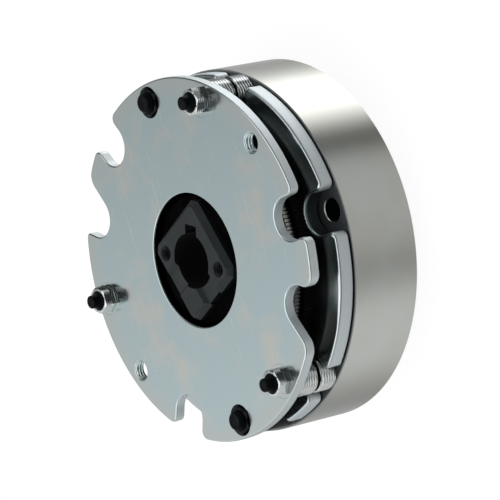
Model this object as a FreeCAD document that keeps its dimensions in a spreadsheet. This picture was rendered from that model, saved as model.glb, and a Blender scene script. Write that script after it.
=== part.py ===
import FreeCAD, Part
import math
import os
import Sketcher

# Spring applied brake. Frame: stator back face on z = 0, brake axis on +Z,
# flange plate on top, station angles counted from +X seen from the plate side.

SIZES = [
    ("outer_radius", 72.5, "stator and flange plate outer radius"),
    ("rim_wall", 0.6, "stator wall outside the screw head wells"),
    ("stator_depth", 31.0, "stator length along the axis"),
    ("stator_edge", 0.3, "edge break of the stator"),
    ("coil_wall_share", 0.0565, "stator wall between head wells and coil groove, of the outer radius"),
    ("coil_groove", 22.0, "depth of the coil groove"),
    ("coil_play", 0.2, "clearance round the winding"),
    ("cover_thickness", 3.0, "resin ring over the winding"),
    ("cover_sink", 0.3, "resin ring below the pole face"),
    ("spring_hole_radius", 4.2, "spring hole"),
    ("spring_wall", 1.8, "stator wall on both sides of the spring holes"),
    ("spring_play", 0.5, "clearance round the springs"),
    ("spring_wire", 1.1, "spring wire"),
    ("spring_depth", 20.0, "spring hole depth"),
    ("spring_count", 6, "pressure springs"),
    ("air_gap", 0.6, "armature travel"),
    ("armature_thickness", 6.2, "armature plate"),
    ("armature_inset", 0.8, "armature rim inside the stator rim"),
    ("armature_clearance", 1.7, "armature opening outside the carrier boss"),
    ("armature_seat", 5.0, "armature opening to the spring centres"),
    ("armature_notch_play", 0.8, "notch clearance round the collars"),
    ("armature_turn", -0.4, "armature turned within its play, in degrees"),
    ("armature_corner", 2.8, "rounding of the armature lugs"),
    ("armature_edge", 0.8, "front edge break of the armature"),
    ("lining_thickness", 4.4, "friction lining"),
    ("lining_clearance", 1.2, "lining teeth inside the collars"),
    ("lining_bore_radius", 34.0, "lining inner radius"),
    ("tooth_count", 225, "rim serrations"),
    ("tooth_depth", 0.75, "serration depth"),
    ("carrier_thickness", 1.7, "rotor carrier web"),
    ("carrier_inset", 1.4, "carrier rim inside the tooth tips"),
    ("boss_wall", 1.16, "carrier boss outside the corners of its square opening"),
    ("boss_lift", 1.2, "boss height above the linings"),
    ("boss_clearance", 1.55, "flange plate opening outside the boss"),
    ("plate_thickness", 4.2, "flange plate"),
    ("plate_notch", 8.3, "half width of the plate notches"),
    ("plate_corner", 3.2, "rounding of steep notch corners"),
    ("plate_wide_corner", 5.5, "rounding opposite the lean of the notch at 330 degrees"),
    ("plate_tight_corner", 2.0, "rounding opposite the lean of the notch at 150 degrees"),
    ("plate_soft_corner", 6.0, "rounding of leaning notch corners"),
    ("plate_lean", 35.0, "lean of the soft flank in degrees"),
    ("plate_edge", 0.5, "front edge break of the plate"),
    ("plate_tap_radius", 3.4, "tapped holes in the plate"),
    ("tap_bevel", 0.95, "mouth of the tapped holes"),
    ("hub_flats", 37.0, "hub square across flats"),
    ("hub_corner_cut", 2.14, "turning depth on the corners of the hub square"),
    ("hub_length", 21.0, "hub length"),
    ("hub_proud", 1.5, "hub face above the plate face"),
    ("hub_edge", 2.3, "front bevel of the hub"),
    ("hub_turn", 20.0, "angle of the hub flats in degrees"),
    ("hub_fit", 0.1, "side clearance of the rotor on the hub"),
    ("shaft_radius", 11.0, "hub bore"),
    ("key_width", 7.0, "keyway width"),
    ("key_rise", 3.4, "keyway depth outside the hub bore"),
    ("hub_hole_radius", 2.8, "puller holes in the hub"),
    ("hub_hole_bevel", 0.6, "mouth of the puller holes"),
    ("hub_hole_depth", 13.0, "puller hole depth"),
    ("hub_hole_inset", 0.71, "puller holes inward of the middle of the hub wall"),
    ("hub_slot_width", 8.4, "floor width of the cross slots in the hub face"),
    ("hub_slot_depth", 1.5, "depth of the cross slots, whose sides lean 45 degrees"),
    ("hub_side_recess", 0.7, "shallow recess in the slotted flats"),
    ("screw_radius", 4.0, "screw thread outside radius"),
    ("screw_bevel", 0.5, "bevel on screw heads and ends"),
    ("screw_head_radius", 6.5, "cap head radius"),
    ("screw_head_height", 8.0, "cap head height"),
    ("head_sink", 0.6, "head face above the stator back"),
    ("head_play", 0.4, "clearance round the heads"),
    ("shank_play", 0.2, "clearance round the shanks in the stator"),
    ("socket_flats", 6.0, "head socket across flats"),
    ("socket_depth", 4.5, "head socket depth"),
    ("point_radius", 2.7, "dog point radius"),
    ("point_length", 3.4, "dog point length"),
    ("point_taper", 1.0, "taper above the thread end"),
    ("point_bevel", 0.4, "bevel of the dog point"),
    ("bush_radius", 6.7, "threads of the bushes in the plate and of the sleeves in the stator"),
    ("collar_radius", 7.4, "bushes and sleeves between plate and stator"),
    ("bush_hex", 10.0, "bush hexagon across flats"),
    ("bush_hex_length", 5.0, "hexagon above the plate"),
    ("bush_rim", 0.5, "bevel at the bush ends"),
    ("bush_gap", 1.4, "gap between bush and sleeve"),
    ("bush_root", 0.5, "overlap of neighbouring lengths of one bush"),
    ("sleeve_out", 7.5, "sleeve length above the stator"),
    ("sleeve_in", 13.0, "sleeve length inside the stator"),
    ("screw_proud", 0.4, "screw shoulder above the hexagon"),
    ("stop_end", 3.1, "stop screw end above the plate"),
    ("tube_hex", 10.6, "stop tube hexagon across flats"),
    ("stop_hex_end", 0.7, "stop tube hexagon above the plate"),
    ("stop_tube_radius", 6.7, "stop tube below the plate"),
    ("hex_play", 0.2, "clearance round the tube hexagon in the plate"),
    ("thread_play", 0.05, "radial clearance of threaded seats"),
    ("through_radius", 4.5, "open holes in the stator"),
    ("hole_bevel", 0.4, "bevel of the open holes"),
    ("grommet_height", 14.0, "lead inlet above the back face"),
    ("grommet_radius", 5.0, "lead inlet grommet"),
    ("grommet_hole_radius", 2.6, "passage in the grommet"),
    ("grommet_depth", 11.0, "grommet seat below the rim"),
    ("grommet_sink", 1.0, "grommet face below the rim"),
    ("lead_play", 0.6, "lead channel outside the grommet passage"),
    ("overcut", 1.0, "how far a cut runs past a face"),
]

DERIVED = [
    ("pitch_radius", "outer_radius - rim_wall - head_play - screw_head_radius"),
    ("coil_wall", "outer_radius * coil_wall_share"),
    ("coil_outer", "pitch_radius - screw_head_radius - head_play - coil_wall"),
    ("lining_radius", "pitch_radius - collar_radius - lining_clearance"),
    ("carrier_radius", "lining_radius - carrier_inset"),
    ("hub_corner_radius", "hub_flats / sqrt(2) - hub_corner_cut"),
    ("boss_radius", "hub_corner_radius + hub_fit + boss_wall"),
    ("plate_hole_radius", "boss_radius + boss_clearance"),
    ("armature_radius", "outer_radius - armature_inset"),
    ("armature_bore_radius", "boss_radius + armature_clearance"),
    ("armature_notch", "collar_radius + armature_notch_play"),
    ("spring_pitch", "armature_bore_radius + armature_seat"),
    ("spring_radius", "spring_hole_radius - spring_play"),
    ("stator_bore_radius", "spring_pitch - spring_hole_radius - spring_wall"),
    ("coil_inner", "spring_pitch + spring_hole_radius + spring_wall"),
    ("hub_hole_pitch", "(shaft_radius + hub_corner_radius) / 2 - hub_hole_inset"),
    ("armature_back", "stator_depth + air_gap"),
    ("armature_front", "armature_back + armature_thickness"),
    ("carrier_back", "armature_front + lining_thickness"),
    ("carrier_front", "carrier_back + carrier_thickness"),
    ("plate_back", "carrier_front + lining_thickness"),
    ("plate_front", "plate_back + plate_thickness"),
    ("hub_front", "plate_front + hub_proud"),
    ("hub_back", "hub_front - hub_length"),
    ("bush_end", "plate_front + bush_hex_length"),
    ("sleeve_back", "stator_depth - sleeve_in"),
    ("sleeve_end", "stator_depth + sleeve_out"),
    ("bush_back", "sleeve_end + bush_gap"),
    ("hex_corner", "tube_hex / sqrt(3)"),
    ("screw_shoulder", "bush_end + screw_proud"),
    ("head_top", "head_sink + screw_head_height"),
    ("cover_back", "stator_depth - cover_sink - cover_thickness"),
    ("winding_back", "stator_depth - coil_groove + coil_play"),
    ("plate_cut", "plate_thickness + 2 * overcut"),
    ("armature_cut", "armature_thickness + 2 * overcut"),
    ("stator_cut", "stator_depth + 2 * overcut"),
    ("hub_cut", "hub_length + 2 * overcut"),
]

OPEN_DEGREES = (0.0, 120.0, 240.0)
TAPPED_DEGREES = (30.0, 210.0)
SOFT_DEGREES = 330.0
INLET_DEGREES = 210.0
STATION_STEP = 30.0
BUSH_STATIONS = ((1, 60.0, -6.0), (2, 180.0, -32.0), (3, 300.0, -11.0))
STOP_STATIONS = ((1, 90.0, 16.0), (2, 270.0, 16.0))

doc = FreeCAD.newDocument("SpringAppliedBrake")
sheet = doc.addObject("Spreadsheet::Sheet", "Sizes")
for row, (alias, value, meaning) in enumerate(SIZES, start=1):
    sheet.set("A%d" % row, alias)
    sheet.set("B%d" % row, str(value))
    sheet.set("C%d" % row, meaning)
    sheet.setAlias("B%d" % row, alias)
for row, (alias, formula) in enumerate(DERIVED, start=len(SIZES) + 2):
    sheet.set("A%d" % row, alias)
    sheet.set("B%d" % row, "=" + formula)
    sheet.setAlias("B%d" % row, alias)
doc.recompute()

names = [entry[0] for entry in SIZES] + [entry[0] for entry in DERIVED]
names.sort(key=len, reverse=True)
parts = []


def size(alias):
    return float(sheet.get(alias))


def bind(thing, prop, formula):
    for name in names:
        formula = formula.replace("@" + name, "Sizes." + name)
    thing.setExpression(prop, formula)


def new_body(label):
    body = doc.addObject("PartDesign::Body", label)
    body.Label = label
    body.Placement = FreeCAD.Placement()
    parts.append(body)
    return body


def origin_part(body, role):
    for item in body.Origin.OriginFeatures:
        if item.Role == role:
            return item
    raise ValueError(role)


def seat(thing, body, level):
    thing.AttachmentSupport = (origin_part(body, "XY_Plane"), [""])
    thing.MapMode = "FlatFace"
    bind(thing, "AttachmentOffset.Base.z", level)


def new_sketch(body, name, level):
    sketch = body.newObject("Sketcher::SketchObject", name)
    seat(sketch, body, level)
    return sketch


def add_circle(sketch, radius, centre_x=None):
    start = FreeCAD.Vector(0 if centre_x is None else size("pitch_radius"), 0, 0)
    ring = Part.Circle(start, FreeCAD.Vector(0, 0, 1), size("bush_radius"))
    number = sketch.addGeometry(ring, False)
    if centre_x is None:
        sketch.addConstraint(Sketcher.Constraint("Coincident", number, 3, -1, 1))
    else:
        sketch.addConstraint(Sketcher.Constraint("PointOnObject", number, 3, -1))
        place = sketch.addConstraint(Sketcher.Constraint("DistanceX", -1, 1, number, 3, start.x))
        bind(sketch, "Constraints[%d]" % place, centre_x)
    width = sketch.addConstraint(Sketcher.Constraint("Radius", number, ring.Radius))
    bind(sketch, "Constraints[%d]" % width, radius)
    return number


def pad(body, name, sketch, length):
    feature = body.newObject("PartDesign::Pad", name)
    feature.Profile = sketch
    bind(feature, "Length", length)
    return feature


def pocket(body, name, sketch, depth):
    feature = body.newObject("PartDesign::Pocket", name)
    feature.Profile = sketch
    bind(feature, "Length", depth)
    return feature


def polar(body, name, feature, count):
    pattern = body.newObject("PartDesign::PolarPattern", name)
    pattern.Originals = [feature]
    pattern.Axis = (origin_part(body, "Z_Axis"), [""])
    pattern.Angle = 360.0
    bind(pattern, "Occurrences", count)
    body.Tip = pattern
    return pattern


def cylinder(body, name, radius, bottom, height, cut=False):
    kind = "PartDesign::SubtractiveCylinder" if cut else "PartDesign::AdditiveCylinder"
    feature = body.newObject(kind, name)
    seat(feature, body, bottom)
    bind(feature, "Radius", radius)
    bind(feature, "Height", height)
    return feature


def cone(body, name, low_radius, high_radius, bottom, height, cut=False):
    kind = "PartDesign::SubtractiveCone" if cut else "PartDesign::AdditiveCone"
    feature = body.newObject(kind, name)
    seat(feature, body, bottom)
    bind(feature, "Radius1", low_radius)
    bind(feature, "Radius2", high_radius)
    bind(feature, "Height", height)
    return feature


def hexagon(body, name, flats, bottom, height, cut=False):
    kind = "PartDesign::SubtractivePrism" if cut else "PartDesign::AdditivePrism"
    feature = body.newObject(kind, name)
    feature.Polygon = 6
    seat(feature, body, bottom)
    bind(feature, "Circumradius", "%s / sqrt(3)" % flats)
    bind(feature, "Height", height)
    return feature


def groove_box(body, name, bottom, height, start, length, width, degrees):
    """Cut a box of the given width that runs outward from start along one direction."""
    feature = body.newObject("PartDesign::SubtractiveBox", name)
    seat(feature, body, bottom)
    turn(feature, degrees)
    bind(feature, "Length", length)
    bind(feature, "Width", width)
    bind(feature, "Height", height)
    bind(feature, "AttachmentOffset.Base.x",
         "(%s) * cos(%f deg) + %s / 2 * sin(%f deg)" % (start, degrees, width, degrees))
    bind(feature, "AttachmentOffset.Base.y",
         "(%s) * sin(%f deg) - %s / 2 * cos(%f deg)" % (start, degrees, width, degrees))
    return feature


def slot_wedge(body, name, degrees):
    """Cut a cross slot with leaning sides into the hub face, from the axis outward."""
    feature = body.newObject("PartDesign::SubtractiveWedge", name)
    seat(feature, body, "@hub_front - @hub_slot_depth")
    offset = feature.AttachmentOffset
    upright = FreeCAD.Rotation(FreeCAD.Vector(1, 0, 0), 90)
    offset.Rotation = FreeCAD.Rotation(FreeCAD.Vector(0, 0, 1), degrees) * upright
    feature.AttachmentOffset = offset
    bind(feature, "Ymax", "@hub_slot_depth + @overcut")
    bind(feature, "Ymin", "0")
    for side, sign, reach in (("min", "-", "0"), ("max", "", "@hub_corner_radius")):
        bind(feature, "Z" + side, sign + "@hub_slot_width / 2")
        bind(feature, "Z2" + side, sign + "(@hub_slot_width / 2 + @hub_slot_depth + @overcut)")
        bind(feature, "X" + side, reach)
        bind(feature, "X2" + side, reach)
    return feature


def move_off_axis(feature, distance, degrees):
    bind(feature, "AttachmentOffset.Base.x", "(%s) * cos(%f deg)" % (distance, degrees))
    bind(feature, "AttachmentOffset.Base.y", "(%s) * sin(%f deg)" % (distance, degrees))


def aim_outward(feature, start):
    """Lay a round feature along the radius of the lead inlet."""
    angle = math.radians(INLET_DEGREES)
    offset = feature.AttachmentOffset
    ray = FreeCAD.Vector(math.cos(angle), math.sin(angle), 0)
    offset.Rotation = FreeCAD.Rotation(FreeCAD.Vector(0, 0, 1), ray)
    feature.AttachmentOffset = offset
    move_off_axis(feature, start, INLET_DEGREES)
    bind(feature, "AttachmentOffset.Base.z", "@grommet_height")


def turn(thing, degrees):
    offset = thing.AttachmentOffset
    offset.Rotation = FreeCAD.Rotation(FreeCAD.Vector(0, 0, 1), degrees)
    thing.AttachmentOffset = offset


def place_station(body, degrees, spin):
    body.Placement.Rotation = FreeCAD.Rotation(FreeCAD.Vector(0, 0, 1), spin)
    bind(body, "Placement.Base.x", "@pitch_radius * cos(%f deg)" % degrees)
    bind(body, "Placement.Base.y", "@pitch_radius * sin(%f deg)" % degrees)


def edge_names(shape, wanted):
    found = []
    for number, edge in enumerate(shape.Edges, start=1):
        if wanted(edge):
            found.append("Edge%d" % number)
    return found


def upright_at(radius, edge):
    ends = [vertex.Point for vertex in edge.Vertexes]
    if len(ends) != 2 or math.hypot(ends[0].x - ends[1].x, ends[0].y - ends[1].y) > 1e-6:
        return False
    return abs(math.hypot(ends[0].x, ends[0].y) - radius) < 1e-3


def lies_at(edge, level):
    box = edge.BoundBox
    return abs(box.ZMin - level) < 1e-6 and abs(box.ZMax - level) < 1e-6


def round_edges(body, name, wanted, radius):
    doc.recompute()
    base = body.Tip
    feature = body.newObject("PartDesign::Fillet", name)
    feature.Base = (base, edge_names(base.Shape, wanted))
    bind(feature, "Radius", radius)
    return feature


def bevel_edges(body, name, wanted, width):
    doc.recompute()
    base = body.Tip
    feature = body.newObject("PartDesign::Chamfer", name)
    feature.Base = (base, edge_names(base.Shape, wanted))
    bind(feature, "Size", width)
    return feature


def notch_sketch(body, name, level, half_width, degrees, lean=0.0):
    """Draw one open-ended rim notch whose far side leans outward by lean degrees."""
    sketch = new_sketch(body, name, level)
    turn(sketch, degrees)
    centre = size("pitch_radius")
    wide = size(half_width)
    far = size("outer_radius") + wide
    end = math.radians(270.0 - lean)
    ring = Part.Circle(FreeCAD.Vector(centre, 0, 0), FreeCAD.Vector(0, 0, 1), wide)
    arc = sketch.addGeometry(Part.ArcOfCircle(ring, math.radians(90.0), end), False)
    foot = FreeCAD.Vector(centre + wide * math.cos(end), wide * math.sin(end), 0)
    low = FreeCAD.Vector(far, foot.y - (far - foot.x) * math.tan(math.radians(lean)), 0)
    high = FreeCAD.Vector(far, wide, 0)
    side = sketch.addGeometry(Part.LineSegment(foot, low), False)
    closing = sketch.addGeometry(Part.LineSegment(low, high), False)
    back = sketch.addGeometry(Part.LineSegment(high, FreeCAD.Vector(centre, wide, 0)), False)
    sketch.addConstraint(Sketcher.Constraint("Tangent", arc, 2, side, 1))
    sketch.addConstraint(Sketcher.Constraint("Coincident", side, 2, closing, 1))
    sketch.addConstraint(Sketcher.Constraint("Coincident", closing, 2, back, 1))
    sketch.addConstraint(Sketcher.Constraint("Tangent", back, 2, arc, 1))
    sketch.addConstraint(Sketcher.Constraint("Vertical", closing))
    sketch.addConstraint(Sketcher.Constraint("Horizontal", back))
    if lean > 0.0:
        angle = sketch.addConstraint(Sketcher.Constraint("Angle", side, -math.radians(lean)))
        bind(sketch, "Constraints[%d]" % angle, "-@plate_lean * 1 deg")
    else:
        sketch.addConstraint(Sketcher.Constraint("Horizontal", side))
    sketch.addConstraint(Sketcher.Constraint("PointOnObject", arc, 3, -1))
    place = sketch.addConstraint(Sketcher.Constraint("DistanceX", -1, 1, arc, 3, centre))
    bind(sketch, "Constraints[%d]" % place, "@pitch_radius")
    width = sketch.addConstraint(Sketcher.Constraint("Radius", arc, wide))
    bind(sketch, "Constraints[%d]" % width, "@" + half_width)
    reach = sketch.addConstraint(Sketcher.Constraint("DistanceX", -1, 1, side, 2, far))
    bind(sketch, "Constraints[%d]" % reach, "@outer_radius + @" + half_width)
    return sketch


def square_sketch(body, name, level, flats, corner):
    """Draw a centred square turned like the hub, its corners cut by a circle."""
    sketch = new_sketch(body, name, level)
    turn(sketch, size("hub_turn"))
    half = size("hub_flats") / 2
    radius = size("hub_corner_radius")
    swing = math.acos(half / radius)
    ring = Part.Circle(FreeCAD.Vector(0, 0, 0), FreeCAD.Vector(0, 0, 1), radius)
    for number in range(4):
        middle = number * math.pi / 2
        low = FreeCAD.Vector(radius * math.cos(middle - swing), radius * math.sin(middle - swing), 0)
        high = FreeCAD.Vector(radius * math.cos(middle + swing), radius * math.sin(middle + swing), 0)
        sketch.addGeometry(Part.LineSegment(low, high), False)
        sketch.addGeometry(Part.ArcOfCircle(ring, middle + swing, middle + math.pi / 2 - swing), False)
    for number in range(4):
        side = 2 * number
        arc = side + 1
        sketch.addConstraint(Sketcher.Constraint("Coincident", side, 2, arc, 1))
        sketch.addConstraint(Sketcher.Constraint("Coincident", arc, 2, (side + 2) % 8, 1))
        sketch.addConstraint(Sketcher.Constraint("Coincident", arc, 3, -1, 1))
        if number:
            sketch.addConstraint(Sketcher.Constraint("Equal", 1, arc))
    for side, sense, way in ((0, "X", "Vertical"), (2, "Y", "Horizontal"),
                             (4, "X", "Vertical"), (6, "Y", "Horizontal")):
        ends = (-1, 1, side, 1) if side < 4 else (side, 1, -1, 1)
        sketch.addConstraint(Sketcher.Constraint(way, side))
        reach = sketch.addConstraint(Sketcher.Constraint("Distance" + sense, *ends, half))
        bind(sketch, "Constraints[%d]" % reach, "(%s) / 2" % flats)
    width = sketch.addConstraint(Sketcher.Constraint("Radius", 1, radius))
    bind(sketch, "Constraints[%d]" % width, corner)
    return sketch


def make_flange_plate():
    body = new_body("flange_plate")
    below = "@plate_back - @overcut"
    above = "@plate_front + @overcut"
    cylinder(body, "PlateDisc", "@outer_radius", "@plate_back", "@plate_thickness")
    cylinder(body, "PlateOpening", "@plate_hole_radius", below, "@plate_cut", True)
    open_notch = notch_sketch(body, "PlateNotchShape", above, "plate_notch", OPEN_DEGREES[0])
    cut = pocket(body, "PlateNotch", open_notch, "@plate_cut")
    polar(body, "PlateNotches", cut, "3")
    lean = size("plate_lean")
    soft_notch = notch_sketch(body, "SoftNotchShape", above, "plate_notch", SOFT_DEGREES, lean)
    soft = pocket(body, "SoftNotch", soft_notch, "@plate_cut")
    polar(body, "SoftNotches", soft, "2")
    radius = size("outer_radius")

    def follows(edge, degrees):
        """Tell whether an upright rim edge lies less than half a station step after an angle."""
        if not upright_at(radius, edge):
            return False
        point = edge.Vertexes[0].Point
        angle = math.degrees(math.atan2(point.y, point.x))
        return (angle - degrees) % 360.0 < STATION_STEP / 2

    def is_soft(edge):
        before = SOFT_DEGREES - STATION_STEP / 2
        return follows(edge, before) or follows(edge, before - 180.0)

    def is_wide(edge):
        return follows(edge, SOFT_DEGREES)

    def is_tight(edge):
        return follows(edge, SOFT_DEGREES - 180.0)

    def is_steep(edge):
        return upright_at(radius, edge) and not (is_soft(edge) or is_wide(edge) or is_tight(edge))

    round_edges(body, "SteepCorners", is_steep, "@plate_corner")
    round_edges(body, "SoftCorners", is_soft, "@plate_soft_corner")
    round_edges(body, "WideCorner", is_wide, "@plate_wide_corner")
    round_edges(body, "TightCorner", is_tight, "@plate_tight_corner")
    front = size("plate_front")
    bevel_edges(body, "PlateFrontEdge", lambda edge: lies_at(edge, front), "@plate_edge")
    for number, degrees, spin in BUSH_STATIONS:
        hole = cylinder(body, "BushHole", "@bush_radius + @thread_play", below, "@plate_cut", True)
        move_off_axis(hole, "@pitch_radius", degrees)
    for number, degrees, spin in STOP_STATIONS:
        hole = cylinder(body, "StopHole", "@hex_corner + @hex_play", below, "@plate_cut", True)
        move_off_axis(hole, "@pitch_radius", degrees)
    for degrees in TAPPED_DEGREES:
        hole = cylinder(body, "TappedHole", "@plate_tap_radius", below, "@plate_cut", True)
        move_off_axis(hole, "@pitch_radius", degrees)
        mouth = cone(body, "TappedMouth", "@plate_tap_radius", "@plate_tap_radius + @tap_bevel",
                     "@plate_front - @tap_bevel", "@tap_bevel", True)
        move_off_axis(mouth, "@pitch_radius", degrees)
    return body


def make_magnet_body():
    body = new_body("magnet_body")
    cylinder(body, "StatorBlock", "@outer_radius", "0", "@stator_depth")
    depth = size("stator_depth")
    bevel_edges(body, "StatorEdges", lambda edge: lies_at(edge, depth) or lies_at(edge, 0.0), "@stator_edge")
    cylinder(body, "ShaftOpening", "@stator_bore_radius", "-@overcut", "@stator_cut", True)
    groove = new_sketch(body, "CoilGrooveShape", "@stator_depth")
    add_circle(groove, "@coil_outer")
    add_circle(groove, "@coil_inner")
    pocket(body, "CoilGroove", groove, "@coil_groove")
    spring_hole = new_sketch(body, "SpringHoleShape", "@stator_depth")
    add_circle(spring_hole, "@spring_hole_radius", "@spring_pitch")
    cut = pocket(body, "SpringHole", spring_hole, "@spring_depth")
    polar(body, "SpringHoles", cut, "@spring_count")
    for degrees in OPEN_DEGREES:
        hole = cylinder(body, "OpenHole", "@through_radius", "-@overcut", "@stator_cut", True)
        move_off_axis(hole, "@pitch_radius", degrees)
        mouth = cone(body, "OpenMouth", "@through_radius", "@through_radius + @hole_bevel",
                     "@stator_depth - @hole_bevel", "@hole_bevel", True)
        move_off_axis(mouth, "@pitch_radius", degrees)
    for number, degrees, spin in BUSH_STATIONS:
        sleeve = cylinder(body, "SleeveSeat", "@bush_radius + @thread_play",
                          "@sleeve_back", "@sleeve_in + @overcut", True)
        move_off_axis(sleeve, "@pitch_radius", degrees)
    for number, degrees, spin in BUSH_STATIONS + STOP_STATIONS:
        shank = cylinder(body, "ShankHole", "@screw_radius + @shank_play", "-@overcut", "@stator_cut", True)
        move_off_axis(shank, "@pitch_radius", degrees)
        well = cylinder(body, "HeadWell", "@screw_head_radius + @head_play",
                        "-@overcut", "@head_top + @overcut", True)
        move_off_axis(well, "@pitch_radius", degrees)
    inlet = cylinder(body, "LeadInlet", "@grommet_radius + @thread_play", "0",
                     "@grommet_depth + @overcut", True)
    aim_outward(inlet, "@outer_radius - @grommet_depth")
    channel = cylinder(body, "LeadChannel", "@grommet_hole_radius + @lead_play", "0",
                       "@outer_radius - @coil_outer", True)
    aim_outward(channel, "@coil_outer - @overcut")
    return body


def make_armature_plate():
    body = new_body("armature_plate")
    below = "@armature_back - @overcut"
    above = "@armature_front + @overcut"
    cylinder(body, "ArmatureDisc", "@armature_radius", "@armature_back", "@armature_thickness")
    cylinder(body, "ArmatureOpening", "@armature_bore_radius", below, "@armature_cut", True)
    turned = size("armature_turn")
    shape = notch_sketch(body, "ArmatureNotchShape", above, "armature_notch", OPEN_DEGREES[0] + turned)
    cut = pocket(body, "ArmatureNotch", shape, "@armature_cut")
    polar(body, "ArmatureNotches", cut, "6")
    stop_degrees = STOP_STATIONS[0][1] + turned
    extra = notch_sketch(body, "StopNotchShape", above, "armature_notch", stop_degrees)
    stop_cut = pocket(body, "StopNotch", extra, "@armature_cut")
    polar(body, "StopNotches", stop_cut, "2")
    radius = size("armature_radius")
    round_edges(body, "LugCorners", lambda edge: upright_at(radius, edge), "@armature_corner")
    front = size("armature_front")
    bevel_edges(body, "ArmatureFrontEdge", lambda edge: lies_at(edge, front), "@armature_edge")
    return body


def make_front_lining():
    """Cut sharp teeth round the rim: each groove takes one tooth pitch at the tips."""
    body = new_body("lining_front")
    spare = "@tooth_depth / 4"
    cylinder(body, "LiningRing", "@lining_radius + " + spare, "@carrier_front", "@lining_thickness")
    cylinder(body, "LiningOpening", "@lining_bore_radius", "@carrier_front - @overcut",
             "@lining_thickness + 2 * @overcut", True)
    groove = new_sketch(body, "SerrationShape", "@plate_back + @overcut")
    root = size("lining_radius") - size("tooth_depth")
    outer = size("lining_radius") + size("tooth_depth")
    half = size("lining_radius") * 2 * math.pi / size("tooth_count")
    bottom = FreeCAD.Vector(root, 0, 0)
    upper = FreeCAD.Vector(outer, half, 0)
    lower = FreeCAD.Vector(outer, -half, 0)
    groove.addGeometry(Part.LineSegment(bottom, upper), False)
    groove.addGeometry(Part.LineSegment(upper, lower), False)
    groove.addGeometry(Part.LineSegment(lower, bottom), False)
    groove.addConstraint(Sketcher.Constraint("Coincident", 0, 2, 1, 1))
    groove.addConstraint(Sketcher.Constraint("Coincident", 1, 2, 2, 1))
    groove.addConstraint(Sketcher.Constraint("Coincident", 2, 2, 0, 1))
    groove.addConstraint(Sketcher.Constraint("PointOnObject", 0, 1, -1))
    groove.addConstraint(Sketcher.Constraint("Symmetric", 1, 1, 1, 2, -1))
    start = groove.addConstraint(Sketcher.Constraint("DistanceX", -1, 1, 0, 1, root))
    bind(groove, "Constraints[%d]" % start, "@lining_radius - @tooth_depth")
    reach = groove.addConstraint(Sketcher.Constraint("DistanceX", -1, 1, 1, 1, outer))
    bind(groove, "Constraints[%d]" % reach, "@lining_radius + @tooth_depth")
    wide = groove.addConstraint(Sketcher.Constraint("DistanceY", 1, 2, 1, 1, 2 * half))
    bind(groove, "Constraints[%d]" % wide, "4 * pi * @lining_radius / @tooth_count")
    cut = pocket(body, "Serration", groove, "@lining_thickness + 2 * @overcut")
    polar(body, "Serrations", cut, "@tooth_count")
    return body


def make_rear_lining(front):
    rear = doc.addObject("Part::Mirroring", "lining_rear")
    rear.Label = "lining_rear"
    rear.Source = front
    rear.Normal = FreeCAD.Vector(0, 0, 1)
    bind(rear, "Base.z", "@carrier_back + @carrier_thickness / 2")
    parts.append(rear)
    return rear


def make_rotor_carrier():
    body = new_body("rotor_carrier")
    cylinder(body, "CarrierWeb", "@carrier_radius", "@carrier_back", "@carrier_thickness")
    cylinder(body, "CarrierBoss", "@boss_radius", "@armature_front - @boss_lift",
             "@plate_back - @armature_front + 2 * @boss_lift")
    top = "@plate_back + @boss_lift + @overcut"
    shape = square_sketch(body, "SquareOpening", top, "@hub_flats + 2 * @hub_fit",
                          "@hub_corner_radius + @hub_fit")
    pocket(body, "SquareHole", shape, "@plate_back - @armature_front + 2 * (@boss_lift + @overcut)")
    return body


def make_hub():
    body = new_body("hub")
    shape = square_sketch(body, "HubSquare", "@hub_back", "@hub_flats", "@hub_corner_radius")
    pad(body, "HubBlank", shape, "@hub_length")
    front = size("hub_front")
    bevel_edges(body, "HubFrontEdge", lambda edge: lies_at(edge, front), "@hub_edge")
    turned = size("hub_turn")
    for degrees in (turned + 180.0, turned + 270.0):
        slot_wedge(body, "FaceSlot", degrees)
        groove_box(body, "SideRecess", "@hub_back - @overcut", "@hub_cut",
                   "@hub_flats / 2 - @hub_side_recess", "@hub_side_recess + @overcut",
                   "@hub_slot_width", degrees)
    cylinder(body, "ShaftBore", "@shaft_radius", "@hub_back - @overcut", "@hub_cut", True)
    groove_box(body, "Keyway", "@hub_back - @overcut", "@hub_cut", "0",
               "@shaft_radius + @key_rise", "@key_width", turned + 45.0)
    for degrees in (turned + 135.0, turned - 45.0):
        hole = cylinder(body, "PullerHole", "@hub_hole_radius", "@hub_front - @hub_hole_depth",
                        "@hub_hole_depth + @overcut", True)
        move_off_axis(hole, "@hub_hole_pitch", degrees)
        mouth = cone(body, "PullerMouth", "@hub_hole_radius", "@hub_hole_radius + @hub_hole_bevel",
                     "@hub_front - @hub_hole_bevel", "@hub_hole_bevel", True)
        move_off_axis(mouth, "@hub_hole_pitch", degrees)
    return body


def make_flange_bush(number, degrees, spin):
    body = new_body("flange_bush_%d" % number)
    cylinder(body, "BushCollar", "@collar_radius", "@bush_back + @bush_rim",
             "@plate_back - @bush_back - @bush_rim")
    cone(body, "BushRim", "@collar_radius - @bush_rim", "@collar_radius", "@bush_back", "@bush_rim")
    cylinder(body, "BushThread", "@bush_radius", "@plate_back - @bush_root",
             "@plate_thickness + @bush_root")
    hexagon(body, "BushHexagon", "@bush_hex", "@plate_front - @bush_root", "@bush_hex_length + @bush_root")
    lip = new_sketch(body, "BushLipShape", "@bush_end")
    add_circle(lip, "@bush_radius + @overcut")
    add_circle(lip, "@bush_hex / 2")
    pocket(body, "BushLip", lip, "@bush_rim")
    cylinder(body, "BushBore", "@screw_radius + @thread_play", "@bush_back - @overcut",
             "@bush_end - @bush_back + 2 * @overcut", True)
    place_station(body, degrees, spin)
    return body


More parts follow.
